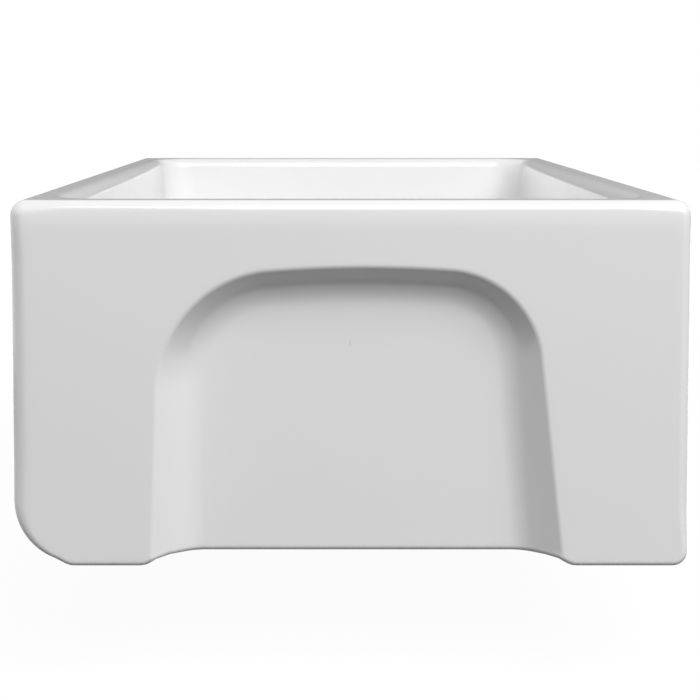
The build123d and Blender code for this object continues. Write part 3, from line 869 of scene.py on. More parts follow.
class EndFace:
    """One end face, as rows of points from its outline in to the middle of the alcove."""

    def __init__(self, outline, alcove):
        self.outline = outline
        self.alcove = alcove
        self.lay_columns()
        self.lay_flares()
        self.lay_insets()
        self.lay_rows()
        self.lay_ring()

    def lay_columns(self):
        """Where the columns leave the outline, from the front's lower round to the back's."""
        low_front, top_front, top_back, low_back = (
            self.outline.arc(corner) for corner in (LOW_FRONT, TOP_FRONT, TOP_BACK, LOW_BACK)
        )
        side = UPRIGHT_COLUMNS - CORNER_COLUMNS
        stations = [
            (sum(low_front) / 2, LOWER_COLUMNS),
            (low_front[1], side),
            (top_front[0], CORNER_COLUMNS),
            (top_front[1], MOUTH_CORNER_COLUMNS),
            (top_front[1] + MOUTH_CORNER_REACH, TOP_COLUMNS - 2 * MOUTH_CORNER_COLUMNS),
            (top_back[0] - MOUTH_CORNER_REACH, MOUTH_CORNER_COLUMNS),
            (top_back[0], CORNER_COLUMNS),
            (top_back[1], side + LOWER_COLUMNS - BACK_LOWER_COLUMNS),
            (low_back[0], BACK_LOWER_COLUMNS),
            (sum(low_back) / 2, 0),
        ]
        runs = [
            np.linspace(start, end, columns, endpoint=False)
            for (start, columns), (end, _) in zip(stations, stations[1:])
        ]
        self.column_runs = np.concatenate([*runs, [stations[-1][0]]])
        self.side_columns = (len(self.column_runs) - 1 - CROWN_COLUMNS) // 4
        self.top_first = LOWER_COLUMNS + UPRIGHT_COLUMNS
        self.top_last = self.top_first + TOP_COLUMNS

    def lay_flares(self):
        """Each column's flare: the crown's at the top, the side walls' below it."""
        a = self.alcove
        line = self.arch(0)
        ahead = np.gradient(line, axis=0)
        upright = ahead[:, 1] ** 2 / (ahead**2).sum(axis=1)
        side = np.where(line[:, 0] < a.crown_offset, a.front_flare, a.back_flare)
        side = side + a.foot_flare * (1 - line[:, 1] / line[:, 1].max())
        self.flares = a.crown_flare + (side - a.crown_flare) * upright

    def lay_insets(self):
        """Distances in from the alcove's sharp mouth at which its rows run, for each column."""
        a = self.alcove
        slope = pi / 2 - self.flares
        self.mouth_insets = -a.edge_round * np.tan(slope / 2)
        self.floor_insets = a.depth / np.tan(slope) + a.blend_round * np.tan(slope / 2)
        share = np.linspace(0, 1, EDGE_ROWS + 1)[:, None]
        edge = self.mouth_insets + a.edge_round * np.sin(share * slope)
        share = np.linspace(1, 0, BLEND_ROWS + 1)[:, None]
        blend = self.floor_insets - a.blend_round * np.sin(share * slope)
        middle = (edge[-1:] + blend[:1]) / 2
        self.insets = np.concatenate([edge, middle, blend])

    def arch(self, inset):
        """The alcove's mouth moved in by inset, from the front foot over to the back foot."""
        a = self.alcove
        front = self.arch_side(inset, -1, a.front_half, a.front_lean, a.front_corner)
        back = self.arch_side(inset, 1, a.back_half, a.back_lean, a.back_corner)
        share = np.linspace(0, 1, len(self.column_runs) - 4 * self.side_columns)[1:-1]
        y = front[-1][0] + (back[-1][0] - front[-1][0]) * share
        chord = front[-1][1] + (back[-1][1] - front[-1][1]) * share
        bulge = (y - front[-1][0]) * (back[-1][0] - y) / (2 * (a.crown_round - inset))
        return np.concatenate([front, np.column_stack([y, chord + bulge]), back[::-1]])

    def arch_side(self, inset, sign, half, lean, corner):
        """One leaning side of the arch from its foot, and its corner up to the crown."""
        a = self.alcove
        top = self.outline.height - a.rim_gap
        centre_z = top - corner
        for _ in range(CORNER_TRIES):
            centre_y = half - centre_z * tan(lean) - corner / cos(lean)
            off_crown = centre_y - sign * a.crown_offset
            dip = off_crown / a.crown_round
            reach = off_crown + corner * sin(dip)
            centre_z = top - reach**2 / (2 * a.crown_round) - corner * cos(dip)
        swing = np.linspace(lean, pi / 2 - dip, self.side_columns + 1)
        turn = np.column_stack([np.cos(swing), np.sin(swing)]) * (corner - inset)
        turn += (centre_y, centre_z)
        foot_y = half - inset / cos(lean)
        for _ in range(FOOT_TRIES):
            run = self.outline.foot_run(sign * foot_y)
            foot_z = self.outline.moved_in(np.array([run]))[0, 1]
            foot_y = half - inset / cos(lean) - foot_z * tan(lean)
        side = np.linspace((foot_y, foot_z), turn[0], self.side_columns + 1)
        return np.concatenate([side, turn[1:]]) * (sign, 1)

    def arches(self, insets):
        """Rows of points at those insets, which vary along the rows, read from a table."""
        steps = np.linspace(insets.min(), insets.max(), ARCH_TABLE)
        table = np.array([self.arch(inset) for inset in steps])
        place = (insets - steps[0]) / (steps[1] - steps[0])
        low = np.clip(place.astype(int), 0, len(steps) - 2)
        columns = np.arange(insets.shape[1])[None, :]
        share = (place - low)[:, :, None]
        return table[low, columns] * (1 - share) + table[low + 1, columns] * share

    def lay_rows(self):
        """Fills self.rows with y and z, and self.row_insets with the distance in from the mouth."""
        arches = self.arches(self.insets)
        last = arches[-1]
        ends = len(last) - 1
        climb = np.minimum(np.arange(ends + 1), np.arange(ends, -1, -1)) / (ends / 2)
        drop = self.alcove.rim_gap + SPINE_DROP * self.floor_insets.max()
        spine_top = self.outline.height - drop
        spine_z = last[0][1] + (spine_top - last[0][1]) * climb
        spine = np.column_stack([np.zeros(ends + 1), spine_z])
        share = np.linspace(0, 1, FLOOR_ROWS + 1)[1:, None, None]
        floor = last + (spine - last) * share
        self.rows = np.concatenate([self.face_band(arches[0])[:-1], arches, floor])
        near = np.repeat(self.mouth_insets[None, :], FACE_ROWS, axis=0)
        deep = np.repeat(self.floor_insets[None, :], FLOOR_ROWS, axis=0)
        self.row_insets = np.concatenate([near, self.insets, deep])

    def face_band(self, mouth):
        """Rows from the outline to the alcove's mouth. Finds where they end on the underside."""
        outer = self.outline.moved_in(self.column_runs)
        share = np.linspace(0, 1, FACE_ROWS + 1)[:, None, None]
        band = outer + (mouth - outer) * share
        across = np.linspace(0, 1, band.shape[1])
        self.foot_runs = []
        for column, along in ((0, across), (-1, across[::-1])):
            ends = [self.column_runs[column], self.outline.foot_run(mouth[column][0])]
            runs = np.linspace(*ends, FACE_ROWS + 1)
            gap = self.outline.moved_in(runs) - band[:, column]
            fade = np.clip(1 - along / FEET_SHARE, 0, 1) ** 2
            band += gap[:, None, :] * fade[None, :, None]
            self.foot_runs.append(list(runs[:-1]))
        return band

    def lay_ring(self):
        """The closed ring of the outline: under the front, round the top, under the back."""
        for column, runs in zip((0, -1), self.foot_runs):
            runs += [self.outline.foot_run(row[column][0]) for row in self.rows[FACE_ROWS:]]
        front_runs, back_runs = (np.array(runs) for runs in self.foot_runs)
        front_runs[-1], back_runs[-1] = 0, self.outline.run[-1]
        self.ring_runs = np.concatenate([front_runs[:0:-1], self.column_runs, back_runs[1:]])
        self.ring_insets = np.concatenate(
            [self.row_insets[:0:-1, 0], self.mouth_insets, self.row_insets[1:, -1]]
        )
        self.ring_flares = np.pad(self.flares, len(front_runs) - 1, mode="edge")
        # The rows' ends take the ring's exact points.
        self.rows[:, 0] = self.outline.moved_in(front_runs)
        self.rows[:, -1] = self.outline.moved_in(back_runs)


def mouth_loop(half_x, half_y, corner, z):
    """A closed loop round the bowl at z, with the columns of the rim."""
    swing = np.radians(np.linspace(-45, 0, MOUTH_CORNER_COLUMNS + 1))
    across, along = corner * (np.cos(swing) - 1), corner * (np.sin(swing) + 1)
    loop = []
    for turn in (0, 90, 180, 270):
        on_end = turn in (0, 180)
        half_out, half_along = (half_x, half_y) if on_end else (half_y, half_x)
        straight = (TOP_COLUMNS if on_end else LONG_COLUMNS) - 2 * MOUTH_CORNER_COLUMNS
        first = np.column_stack([half_out + across, along - half_along])
        run = np.linspace(corner - half_along, half_along - corner, straight + 1)
        middle = np.column_stack([np.full(straight + 1, half_out), run])
        side = np.concatenate([first, middle[1:], (first * (1, -1))[::-1][1:]])
        c, s = cos(radians(turn)), sin(radians(turn))
        loop.append(side[:-1] @ np.array([[c, s], [-s, c]]))
    flat = np.concatenate(loop)
    return np.column_stack([flat, np.full(len(flat), z)])


def drain_loop(radius, z, reach):
    """A round loop about the drain with the same columns. Reach is the angle of the corners."""
    turns = (-reach, reach, pi - reach, pi + reach, 2 * pi - reach)
    angles = [
        np.linspace(start, end, columns, endpoint=False)
        for start, end, columns in zip(turns, turns[1:], (TOP_COLUMNS, LONG_COLUMNS) * 2)
    ]
    angles = np.concatenate(angles)
    x, y = radius * np.cos(angles), radius * np.sin(angles)
    return np.column_stack([x, y, np.full(len(angles), z)])


def wall_section(s, floor_z):
    """Inset, corner round and height of each loop from the rim down to the cove's foot."""
    height = SINK_HEIGHT / MM
    wall_turn = pi / 2 - s.bowl_draft
    edge_run = s.rim_inner_round * tan(wall_turn / 2)
    wall_run = (height - floor_z) * tan(s.bowl_draft)
    cove_run = s.bowl_cove_round * tan(wall_turn / 2)
    section = []
    for swing in np.linspace(0, wall_turn, EDGE_LOOPS):
        inset = -edge_run + s.rim_inner_round * sin(swing)
        z = height - s.rim_inner_round * (1 - cos(swing))
        section.append((inset, s.bowl_corner_round - min(inset, 0), z))
    cove_top = wall_run - cove_run * sin(s.bowl_draft)
    cove_top_z = floor_z + cove_run * cos(s.bowl_draft)
    edge_inset, _, edge_z = section[-1]
    for share in np.linspace(0, 1, WALL_LOOPS + 2)[1:-1]:
        inset = edge_inset + (cove_top - edge_inset) * share
        section.append((inset, s.bowl_corner_round, edge_z + (cove_top_z - edge_z) * share))
    cove_end = wall_run + cove_run
    for swing in np.linspace(s.bowl_draft, pi / 2, COVE_LOOPS):
        inset = cove_end - s.bowl_cove_round * cos(swing)
        corner = s.bowl_corner_round - cove_run * (inset - cove_top) / (cove_end - cove_top)
        section.append((inset, corner, floor_z + s.bowl_cove_round * (1 - sin(swing))))
    return section


def bowl_rows(s):
    """Loops from the rim's inner round down to the underside of the drain hole."""
    half_x = SINK_LENGTH / MM / 2 - s.rim_width
    half_y = SINK_WIDTH / MM / 2 - s.rim_width
    landing_z = s.underside_rise + s.floor_thickness
    floor_z = landing_z + s.floor_fall
    section = wall_section(s, floor_z)
    rows = [mouth_loop(half_x - inset, half_y - inset, corner, z) for inset, corner, z in section]
    level = s.landing_width
    cove_end, tight, _ = section[-1]
    edge_x, edge_y = half_x - cove_end - level, half_y - cove_end - level
    edge = mouth_loop(edge_x, edge_y, tight + level, floor_z)
    reach = atan2(edge_y, edge_x)
    ring = drain_loop(s.recess_radius + level, landing_z, reach)
    rows.append(edge)
    for share in np.linspace(0, 1, FALL_LOOPS + 1)[1:]:
        row = edge + (ring - edge) * share
        row[:, 2] = floor_z - s.floor_fall * share**2 * (3 - 2 * share)
        rows.append(row)
    seat_z = landing_z - s.recess_depth
    for radius, z in (
        (s.recess_radius + RECESS_EDGE, landing_z),
        (s.recess_radius, landing_z - RECESS_EDGE),
        (s.recess_radius, seat_z),
        (s.drain_radius + s.drain_bevel, seat_z),
        (s.drain_radius, seat_z - s.drain_bevel),
        (s.drain_radius, s.underside_rise),
    ):
        rows.append(drain_loop(radius, z, reach))
    return np.array(rows)


def with_x(x, yz):
    """Points from an array of x and one of y and z."""
    return np.concatenate([x[:, :, None], yz], axis=2)


def lay_ends(patches, outline, face, half):
    """Both end faces with their rounded edges."""
    point, inward, rounds = outline.at(face.ring_runs)
    swing = np.linspace(0, pi / 2, ROUND_ROWS + 1)[:, None]
    ring_yz = point + inward * (rounds * (1 - np.cos(swing)))[:, :, None]
    ring_x = half - rounds * (1 - np.sin(swing))
    flat_x = np.full(face.rows.shape[:2], half)
    for sign in (1, -1):
        patches.grid(
            with_x(sign * flat_x, face.rows),
            alcove_inset=face.row_insets,
            alcove_flare=face.flares,
            end_share=1.0,
        )
        patches.grid(
            with_x(sign * ring_x, ring_yz),
            alcove_inset=face.ring_insets,
            alcove_flare=face.ring_flares,
            end_share=1.0,
        )


def lay_length(patches, outline, face, half):
    """The long sides, from the back's top edge under the sink and up to the front's.

    The result is the outer edge of the rim's flat, as a closed loop with the bowl's columns.
    """
    point, _, rounds = outline.at(face.ring_runs)
    near = MOUTH_CORNER_REACH / half
    middle = LONG_COLUMNS - 2 * MOUTH_CORNER_COLUMNS
    corner = np.linspace(-1, near - 1, MOUTH_CORNER_COLUMNS, endpoint=False)
    straight = np.linspace(near - 1, 1 - near, middle, endpoint=False)
    along = np.concatenate([corner, straight, np.linspace(1 - near, 1, MOUTH_CORNER_COLUMNS + 1)])
    under = len(face.rows) - 1
    first, last = under + face.top_first, under + face.top_last
    order = np.concatenate([np.arange(last, len(face.ring_runs)), np.arange(1, first + 1)])
    x = along[:, None] * (half - rounds[order])
    yz = np.broadcast_to(point[order], (*x.shape, 2))
    patches.grid(
        with_x(x, yz),
        alcove_inset=face.ring_insets[order],
        alcove_flare=face.ring_flares[order],
        end_share=np.abs(along)[:, None],
    )
    top = slice(first, last + 1)
    end_row = np.column_stack([half - rounds[top], point[top]])
    back_row = np.column_stack([x[::-1, 0], yz[::-1, 0]])
    front_row = np.column_stack([x[:, -1], yz[:, -1]])
    far_row = (end_row * (-1, 1, 1))[::-1]
    return np.concatenate([end_row[:-1], back_row[:-1], far_row[:-1], front_row[:-1]])


def casting_mesh(sink, alcove):
    """The whole casting before its alcoves are pressed in, with the marks that place them."""
    outline = Outline(sink)
    face = EndFace(outline, alcove)
    half = SINK_LENGTH / MM / 2
    patches = Patches()
    lay_ends(patches, outline, face, half)
    rim = lay_length(patches, outline, face, half)
    bowl = bowl_rows(sink)
    flat_rows = [rim + (bowl[0] - rim) * share for share in RIM_SHARES]
    patches.grid(
        np.concatenate([flat_rows, bowl]),
        closed=True,
        alcove_inset=OFF_ALCOVE,
        alcove_flare=alcove.crown_flare,
        end_share=0.0,
    )
    for points in patches.points:
        ease_top(points, sink, half)
    return patches.mesh("fireclay_casting")


def ease_top(points, s, half):
    """Leans the ends in towards the rim. The lean fades out at the rim's inner edge."""
    rise = np.clip((points[:, 2] - SINK_HEIGHT / MM + s.ease_height) / s.ease_height, 0, 1)
    fade_width = s.rim_width - EASE_BAND
    out = np.clip((np.abs(points[:, 0]) - half + s.rim_width) / fade_width, 0, 1)
    points[:, 0] -= np.sign(points[:, 0]) * s.top_end_ease * rise**2 * out**2 * (3 - 2 * out)


def open_drain(mesh, radius):
    """Cuts the underside round the drain and joins it to the hole's lower edge."""
    work = bmesh.new()
    work.from_mesh(mesh)
    spare = []
    for f in work.faces:
        spot = f.calc_center_median() / MM
        if max(abs(spot.x), abs(spot.y)) < UNDER_DRAIN * radius and spot.z < UNDER_HIGH:
            spare.append(f)
    bmesh.ops.delete(work, geom=spare, context="FACES")
    edges = [e for e in work.edges if e.is_boundary]
    bmesh.ops.triangle_fill(work, edges=edges, use_beauty=True, normal=(0, 0, -1))
    loose = [e for e in work.edges if not e.is_manifold]
    if loose:
        raise RuntimeError(f"{len(loose)} open edges are left in the casting")
    work.to_mesh(mesh)
    work.free()


def alcove_tree(material):
    """Presses the alcoves in: each point goes back by the depth that its inset gives."""
    lengths = ("Depth", "Edge Round", "Blend Round")
    tree, m, got = new_tree("press_alcoves", lengths)
    depth, edge, blend = (got[name] for name in lengths)
    slope = pi / 2 - m.add("GeometryNodeInputNamedAttribute", Name="alcove_flare")
    steep = m.math("TANGENT", slope)
    half = m.math("TANGENT", slope * 0.5)
    reach = m.math("SINE", slope)
    inset = m.add("GeometryNodeInputNamedAttribute", Name="alcove_inset")
    share = m.add("GeometryNodeInputNamedAttribute", Name="end_share")
    from_edge = inset + edge * half
    in_edge = m.math("MINIMUM", m.math("MAXIMUM", from_edge, 0.0), edge * reach)
    past_edge = m.math("MAXIMUM", from_edge - edge * reach, 0.0)
    down = edge - m.math("SQRT", edge * edge - in_edge * in_edge) + past_edge * steep
    to_floor = depth / steep + blend * half - inset
    in_blend = m.math("MINIMUM", m.math("MAXIMUM", to_floor, 0.0), blend * reach)
    before_blend = m.math("MAXIMUM", to_floor - blend * reach, 0.0)
    rest = blend - m.math("SQRT", blend * blend - in_blend * in_blend) + before_blend * steep
    sunk = (down + depth - rest - inset * steep) * share
    place = m.add("GeometryNodeInputPosition")
    side = m.math("SIGN", m.add("ShaderNodeSeparateXYZ", Vector=place))
    offset = m.add("ShaderNodeCombineXYZ", X=side * sunk * -MM)
    moved = m.add("GeometryNodeSetPosition", Geometry=got["Geometry"], Offset=offset)
    end_tree(m, moved, material)
    return tree


def build_casting(sink, alcove, colours):
    mesh = casting_mesh(sink, alcove)
    open_drain(mesh, sink.drain_radius)
    obj = new_object("fireclay_casting", mesh)
    inputs = {
        "Depth": alcove.depth,
        "Edge Round": alcove.edge_round,
        "Blend Round": alcove.blend_round,
    }
    apply_nodes(obj, alcove_tree(glazed_fireclay(colours)), **inputs)
    for mark in ("alcove_inset", "alcove_flare", "end_share"):
        obj.data.attributes.remove(obj.data.attributes[mark])
    finish_mesh(obj.data)
    settle(obj, "sink", "glazed_fireclay", "sink_body")


# ------------------------------------------------------------------ turned pieces
TURN_SEGMENTS = 144
CORNER_POINTS = 7           # on each round of a turned section
WALL_HOLE_SIDES = 20
FLOOR_HOLE_SIDES = 24
PUNCH_SHARE = 0.4           # length of a punch, of the wall's radius
DRILL_SHARE = 2.0           # length of a drill, of its hole's radius
THREAD_TURN_STEPS = 90
THREAD_SIDES = 8
THREAD_FADE = 1 / 14        # share of the thread that fades, at each end
LUG_CORNER_STEPS = 5
LUG_CORNER_ROUND = 1.6      # millimetres
WING_ROUND_SHARE = 0.48     # round of a wing's corners, of its width
LUG_BEVEL = 0.5             # millimetres, like the next three
LUG_WELD = 0.01
DISH_RIM = 1.2              # flat between the knob's edge round and its dish
DISH_SLOPE = 3.0            # width of the dish's slope


def turned_mesh(name, corners):
    """A piece turned about the drain's axis. Its section's corners are (radius, z, round)."""
    middle = (np.array(corners[-1][:2], float) + np.array(corners[0][:2], float)) / 2
    line = rounded_line([(*middle, 0), *corners, (*middle, 0)], CORNER_POINTS)[0]
    swing = np.linspace(0, 2 * pi, TURN_SEGMENTS, endpoint=False)
    across, up = line[:, :1], line[:, 1:]
    points = [across * np.cos(swing), across * np.sin(swing), up + 0 * swing]
    patches = Patches()
    patches.grid(np.stack(points, axis=2), closed=True)
    mesh = patches.mesh(name)
    finish_mesh(mesh)
    return mesh


def ring_of(maker, count, radius, height, piece, outward=None, turn=0.0):
    """Copies of a piece on a ring round the drain's axis, with that axis of theirs outwards."""
    ring = maker.add("GeometryNodeMeshCircle", Vertices=count, Radius=radius)
    parts = {"Points": ring, "Instance": piece}
    if outward:
        settings = {"axis": outward, "pivot_axis": "Z" if outward == "X" else "AUTO"}
        place = maker.add("GeometryNodeInputPosition")
        parts["Rotation"] = maker.add("FunctionNodeAlignEulerToVector", settings, Vector=place)
    copies = maker.add("GeometryNodeInstanceOnPoints", **parts)
    spin = maker.add("ShaderNodeCombineXYZ", Z=turn)
    rise = maker.add("ShaderNodeCombineXYZ", Z=height)
    return maker.add("GeometryNodeTransform", Geometry=copies, Translation=rise, Rotation=spin)


def perforation_tree(rows, material):
    """Punches rows of holes round the wall and two rings of holes in the floor."""
    lengths = (
        "Wall Hole",
        "Row Pitch",
        "Lip Height",
        "Wall Radius",
        "Floor Hole",
        "Floor Height",
        "Inner Ring",
        "Outer Ring",
    )
    counts = ("Row Holes", "Inner Holes", "Outer Holes")
    tree, m, got = new_tree("perforate_basket", lengths, counts)
    sizes = {"Radius": got["Wall Hole"], "Depth": got["Wall Radius"] * PUNCH_SHARE}
    punch = m.add("GeometryNodeMeshCylinder", Vertices=WALL_HOLE_SIDES, **sizes)
    cutters = []
    for row in range(1, rows + 1):
        height = got["Lip Height"] - got["Row Pitch"] * float(row)
        turn = pi / got["Row Holes"] * float(row % 2)
        cutters.append(ring_of(m, got["Row Holes"], got["Wall Radius"], height, punch, "Z", turn))
    sizes = {"Radius": got["Floor Hole"], "Depth": got["Floor Hole"] * DRILL_SHARE}
    drill = m.add("GeometryNodeMeshCylinder", Vertices=FLOOR_HOLE_SIDES, **sizes)
    for ring in ("Inner", "Outer"):
        count, radius = got[f"{ring} Holes"], got[f"{ring} Ring"]
        cutters.append(ring_of(m, count, radius, got["Floor Height"], drill))
    tools = m.add("GeometryNodeRealizeInstances", Geometry=m.join_geometry(*cutters))
    settings = {"operation": "DIFFERENCE", "solver": "MANIFOLD"}
    cut = m.add("GeometryNodeMeshBoolean", settings, Mesh_1=got["Geometry"], Mesh_2=tools)
    end_tree(m, cut, material)
    return tree


def lug_tree(name, material):
    """Adds a ring of rounded lugs round a nut."""
    lengths = ("Width", "Reach", "Height", "Corner Round", "Nut Radius", "Foot")
    tree, m, got = new_tree(name, lengths, ["Lugs"])
    sizes = {"Width": got["Reach"] * 2.0, "Height": got["Width"]}
    block = m.add("GeometryNodeCurvePrimitiveQuadrilateral", **sizes)
    sizes = {"Count": LUG_CORNER_STEPS, "Radius": got["Corner Round"], "Limit Radius": True}
    soft = m.add("GeometryNodeFilletCurve", {"mode": "POLY"}, Curve=block, **sizes)
    foot = m.add("GeometryNodeFillCurve", {"mode": "NGONS"}, Curve=soft)
    lug = m.add("GeometryNodeExtrudeMesh", Mesh=foot, Offset_Scale=got["Height"], Individual=False)
    sole = m.add("GeometryNodeFlipFaces", Mesh=foot)
    whole = m.join_geometry(lug, sole)
    whole = m.add("GeometryNodeMergeByDistance", Geometry=whole, Distance=LUG_WELD * MM)
    lugs = ring_of(m, got["Lugs"], got["Nut Radius"], got["Foot"], whole, "X")
    end_tree(m, m.join_geometry(got["Geometry"], lugs), material)
    return tree


def thread_tree(material):
    """A rolled thread: a ridge that winds up the barrel and fades at both ends."""
    tree, m, got = new_tree("roll_thread", ("Radius", "Pitch", "Depth", "Foot", "Height"))
    helix = m.add(
        "GeometryNodeCurveSpiral",
        Resolution=THREAD_TURN_STEPS,
        Rotations=got["Height"] / got["Pitch"],
        Start_Radius=got["Radius"],
        End_Radius=got["Radius"],
        Height=got["Height"],
    )
    rise = m.add("ShaderNodeCombineXYZ", Z=got["Foot"])
    helix = m.add("GeometryNodeTransform", Geometry=helix, Translation=rise)
    along = m.add("GeometryNodeSplineParameter")
    fade = m.math("MINIMUM", m.math("MINIMUM", along, 1.0 - along) / THREAD_FADE, 1.0)
    helix = m.add("GeometryNodeSetCurveRadius", Curve=helix, Radius=fade)
    section = m.add(
        "GeometryNodeCurvePrimitiveCircle", Resolution=THREAD_SIDES, Radius=got["Depth"]
    )
    ridge = m.add("GeometryNodeCurveToMesh", Curve=helix, Profile_Curve=section, Fill_Caps=True)
    end_tree(m, ridge, material)
    return tree


def settle(obj, body, slot, *replaced):
    """Hands a finished piece to its body, with the solids that it stands for."""
    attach(obj, body)
    if replaced:
        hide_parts(*replaced)


def build_basket(b, colours):
    slope = atan2(b.lip_radius - b.lip_width - b.floor_radius, b.lip_z - b.floor_z)
    across = b.sheet / cos(slope)
    top_radius = b.lip_radius - b.lip_width
    corners = [
        (b.bush_radius, b.floor_z, 0),
        (b.floor_radius, b.floor_z, b.cove_round + b.sheet),
        (top_radius, b.lip_z, b.sheet),
        (b.lip_radius, b.lip_z, 0.55),
        (b.lip_radius, b.lip_z + b.sheet, 0.55),
        (top_radius - across, b.lip_z + b.sheet, 2 * b.sheet),
        (b.floor_radius - across, b.floor_z + b.sheet, b.cove_round),
        (b.bush_radius, b.floor_z + b.sheet, 0),
    ]
    steel = turned_steel("basket_steel", colours, 0.24)
    obj = new_object("perforated_basket", turned_mesh("perforated_basket", corners))
    inputs = {
        "Wall Hole": b.wall_hole * MM,
        "Row Holes": b.row_holes,
        "Row Pitch": b.row_pitch * MM,
        "Lip Height": b.lip_z * MM,
        "Wall Radius": (top_radius + b.floor_radius) / 2 * MM,
        "Floor Hole": b.floor_hole * MM,
        "Floor Height": (b.floor_z + b.sheet / 2) * MM,
        "Inner Ring": b.inner_ring * MM,
        "Inner Holes": b.inner_holes,
        "Outer Ring": b.outer_ring * MM,
        "Outer Holes": b.outer_holes,
    }
    apply_nodes(obj, perforation_tree(b.wall_rows, steel), **inputs)
    finish_mesh(obj.data, sharp_from=40)
    settle(obj, "basket", "stainless_steel", "basket")
    bright = turned_steel("bush_steel", colours, 0.14, 1800.0)
    finish_node("post_bush", bright)
    finish_node("grip_ring", moulded_rubber(colours))


def build_nut(name, corners, inputs, material, slot):
    """A turned nut with its ring of lugs, all edges slightly bevelled."""
    obj = new_object(name, turned_mesh(name, corners))
    apply_nodes(obj, lug_tree(f"{name}_lugs", material), LUG_BEVEL * MM, **inputs)
    finish_mesh(obj.data, sharp_from=30)
    settle(obj, "sink", slot, name.replace("_piece", ""))


def build_strainer(n, colours):
    steel = turned_steel("strainer_steel", colours)
    finish_node("strainer_body", steel)
    finish_node("putty_ring", set_putty(colours))
    thread = new_object("barrel_thread", bpy.data.meshes.new("barrel_thread"))
    inputs = {
        "Radius": n.barrel_radius * MM,
        "Pitch": n.thread_pitch * MM,
        "Depth": n.thread_depth * MM,
        "Foot": n.thread_low * MM,
        "Height": (n.lock_low - n.thread_low - n.thread_depth) * MM,
    }
    apply_nodes(thread, thread_tree(steel), **inputs)
    finish_mesh(thread.data, sharp_from=60)
    settle(thread, "sink", "stainless_steel")


def build_clamping(n, colours):
    finish_node("rubber_gasket", moulded_rubber(colours))
    finish_node("friction_ring", pressed_fibre(colours))
    wall = n.lock_bore + n.lock_wall
    under_flange = n.lock_high - n.lock_flange_depth
    corners = [
        (n.lock_bore, n.lock_low, 0.4),
        (wall, n.lock_low, n.edge_round),
        (wall, under_flange, 1.0),
        (wall + n.lock_flange, under_flange, n.edge_round),
        (wall + n.lock_flange, n.lock_high, n.edge_round),
        (n.lock_bore, n.lock_high, 0.4),
    ]
    inputs = {
        "Lugs": n.lock_lugs,
        "Width": n.lug_width * MM,
        "Reach": n.lug_reach * MM,
        "Height": (under_flange - n.lock_low) * MM,
        "Corner Round": LUG_CORNER_ROUND * MM,
        "Nut Radius": wall * MM,
        "Foot": (n.lock_low + n.lug_gap) * MM,
    }
    build_nut("lock_nut_piece", corners, inputs, cast_brass(colours), "cast_nut")


def build_tail(n, colours):
    plating = bright_plating(colours)
    finish_node("tailpiece", plating)
    finish_node("tailpiece_washer", moulded_nylon(colours))
    wall = n.coupling_bore + n.coupling_wall
    corners = [
        (n.slip_bore, n.coupling_low, 0.4),
        (wall, n.coupling_low, 2.2 * n.edge_round),
        (wall, n.coupling_high, n.edge_round),
        (n.coupling_bore, n.coupling_high, 0.4),
        (n.coupling_bore, n.coupling_seat, 0.3),
        (n.slip_bore, n.coupling_seat, 0.3),
    ]
    inputs = {
        "Lugs": n.wings,
        "Width": n.wing_width * MM,
        "Reach": n.wing_reach * MM,
        "Height": (n.coupling_high - n.coupling_low - 2 * n.lug_gap) * MM,
        "Corner Round": WING_ROUND_SHARE * n.wing_width * MM,
        "Nut Radius": wall * MM,
        "Foot": (n.coupling_low + n.lug_gap) * MM,
    }
    build_nut("coupling_nut_piece", corners, inputs, plating, "plated_brass")


def build_stopper(k, colours):
    bright = turned_steel("knob_steel", colours, 0.13, 2200.0)
    dish_radius = k.head_radius - k.edge_round - DISH_RIM
    corners = [
        (k.bore, k.low, 0.3),
        (k.neck_radius, k.low, 0.6),
        (k.neck_radius, k.head_low, 1.2),
        (k.head_radius, k.head_low, 0.8),
        (k.head_radius, k.high, k.edge_round),
        (dish_radius, k.high, 2.0),
        (dish_radius - DISH_SLOPE, k.high - k.dish, 3.0),
        (0, k.high - k.dish, 0),
        (0, k.high - k.crown, 0),
        (k.bore, k.high - k.crown, 0),
    ]
    knob = new_object("turned_knob", turned_mesh("turned_knob", corners))
    knob.data.materials.append(bright)
    settle(knob, "stopper", "stainless_steel", "knob")
    for name in ("stopper_post", "seal_plate"):
        finish_node(name, bright)
    finish_node("stopper_seal", moulded_rubber(colours))
    finish_node("seal_nut", bright_plating(colours))


# ------------------------------------------------------------------ stage
# All in metres.
FLOOR_REACH = 8.0           # to each side
GLOW_NEAR = 1.0             # distance at which the floor's glow starts to change
GLOW_RUN = 2.0              # distance over which it changes
CARD_LIFT = 0.002           # of the lower card, off the floor
CARDS = (
    # name, its glow in the settings, and two opposite corners
    ("card_behind", "card_glow", (-1.6, -2.2, 0), (-1.6, 2.2, 0.95)),
    ("card_left", "side_glow", (1.6, -1.5, 0), (-1.4, -1.5, 1.4)),
)
LOWER_CARD = ((-0.7, -1.5), (0.43, 0.6))
FILL_PLACES = {"apron_fill": (-1.2, -3.2, 0.55), "rear_fill": (-3.2, 1.7, 0.55)}
FILL_SIZE = (2.4, 1.2)
SENSOR_WIDTH = 36           # millimetres


def seen_directly(maker):
    """1 for rays that see the background: camera, mirror and glass rays."""
    rays = maker.add("ShaderNodeLightPath").socket.node
    kinds = ("Is Camera Ray", "Is Glossy Ray", "Is Transmission Ray")
    camera, glossy, glass = (Socket(maker, rays.outputs[kind]) for kind in kinds)
    return maker.math("MINIMUM", camera + glossy + glass, 1.0)


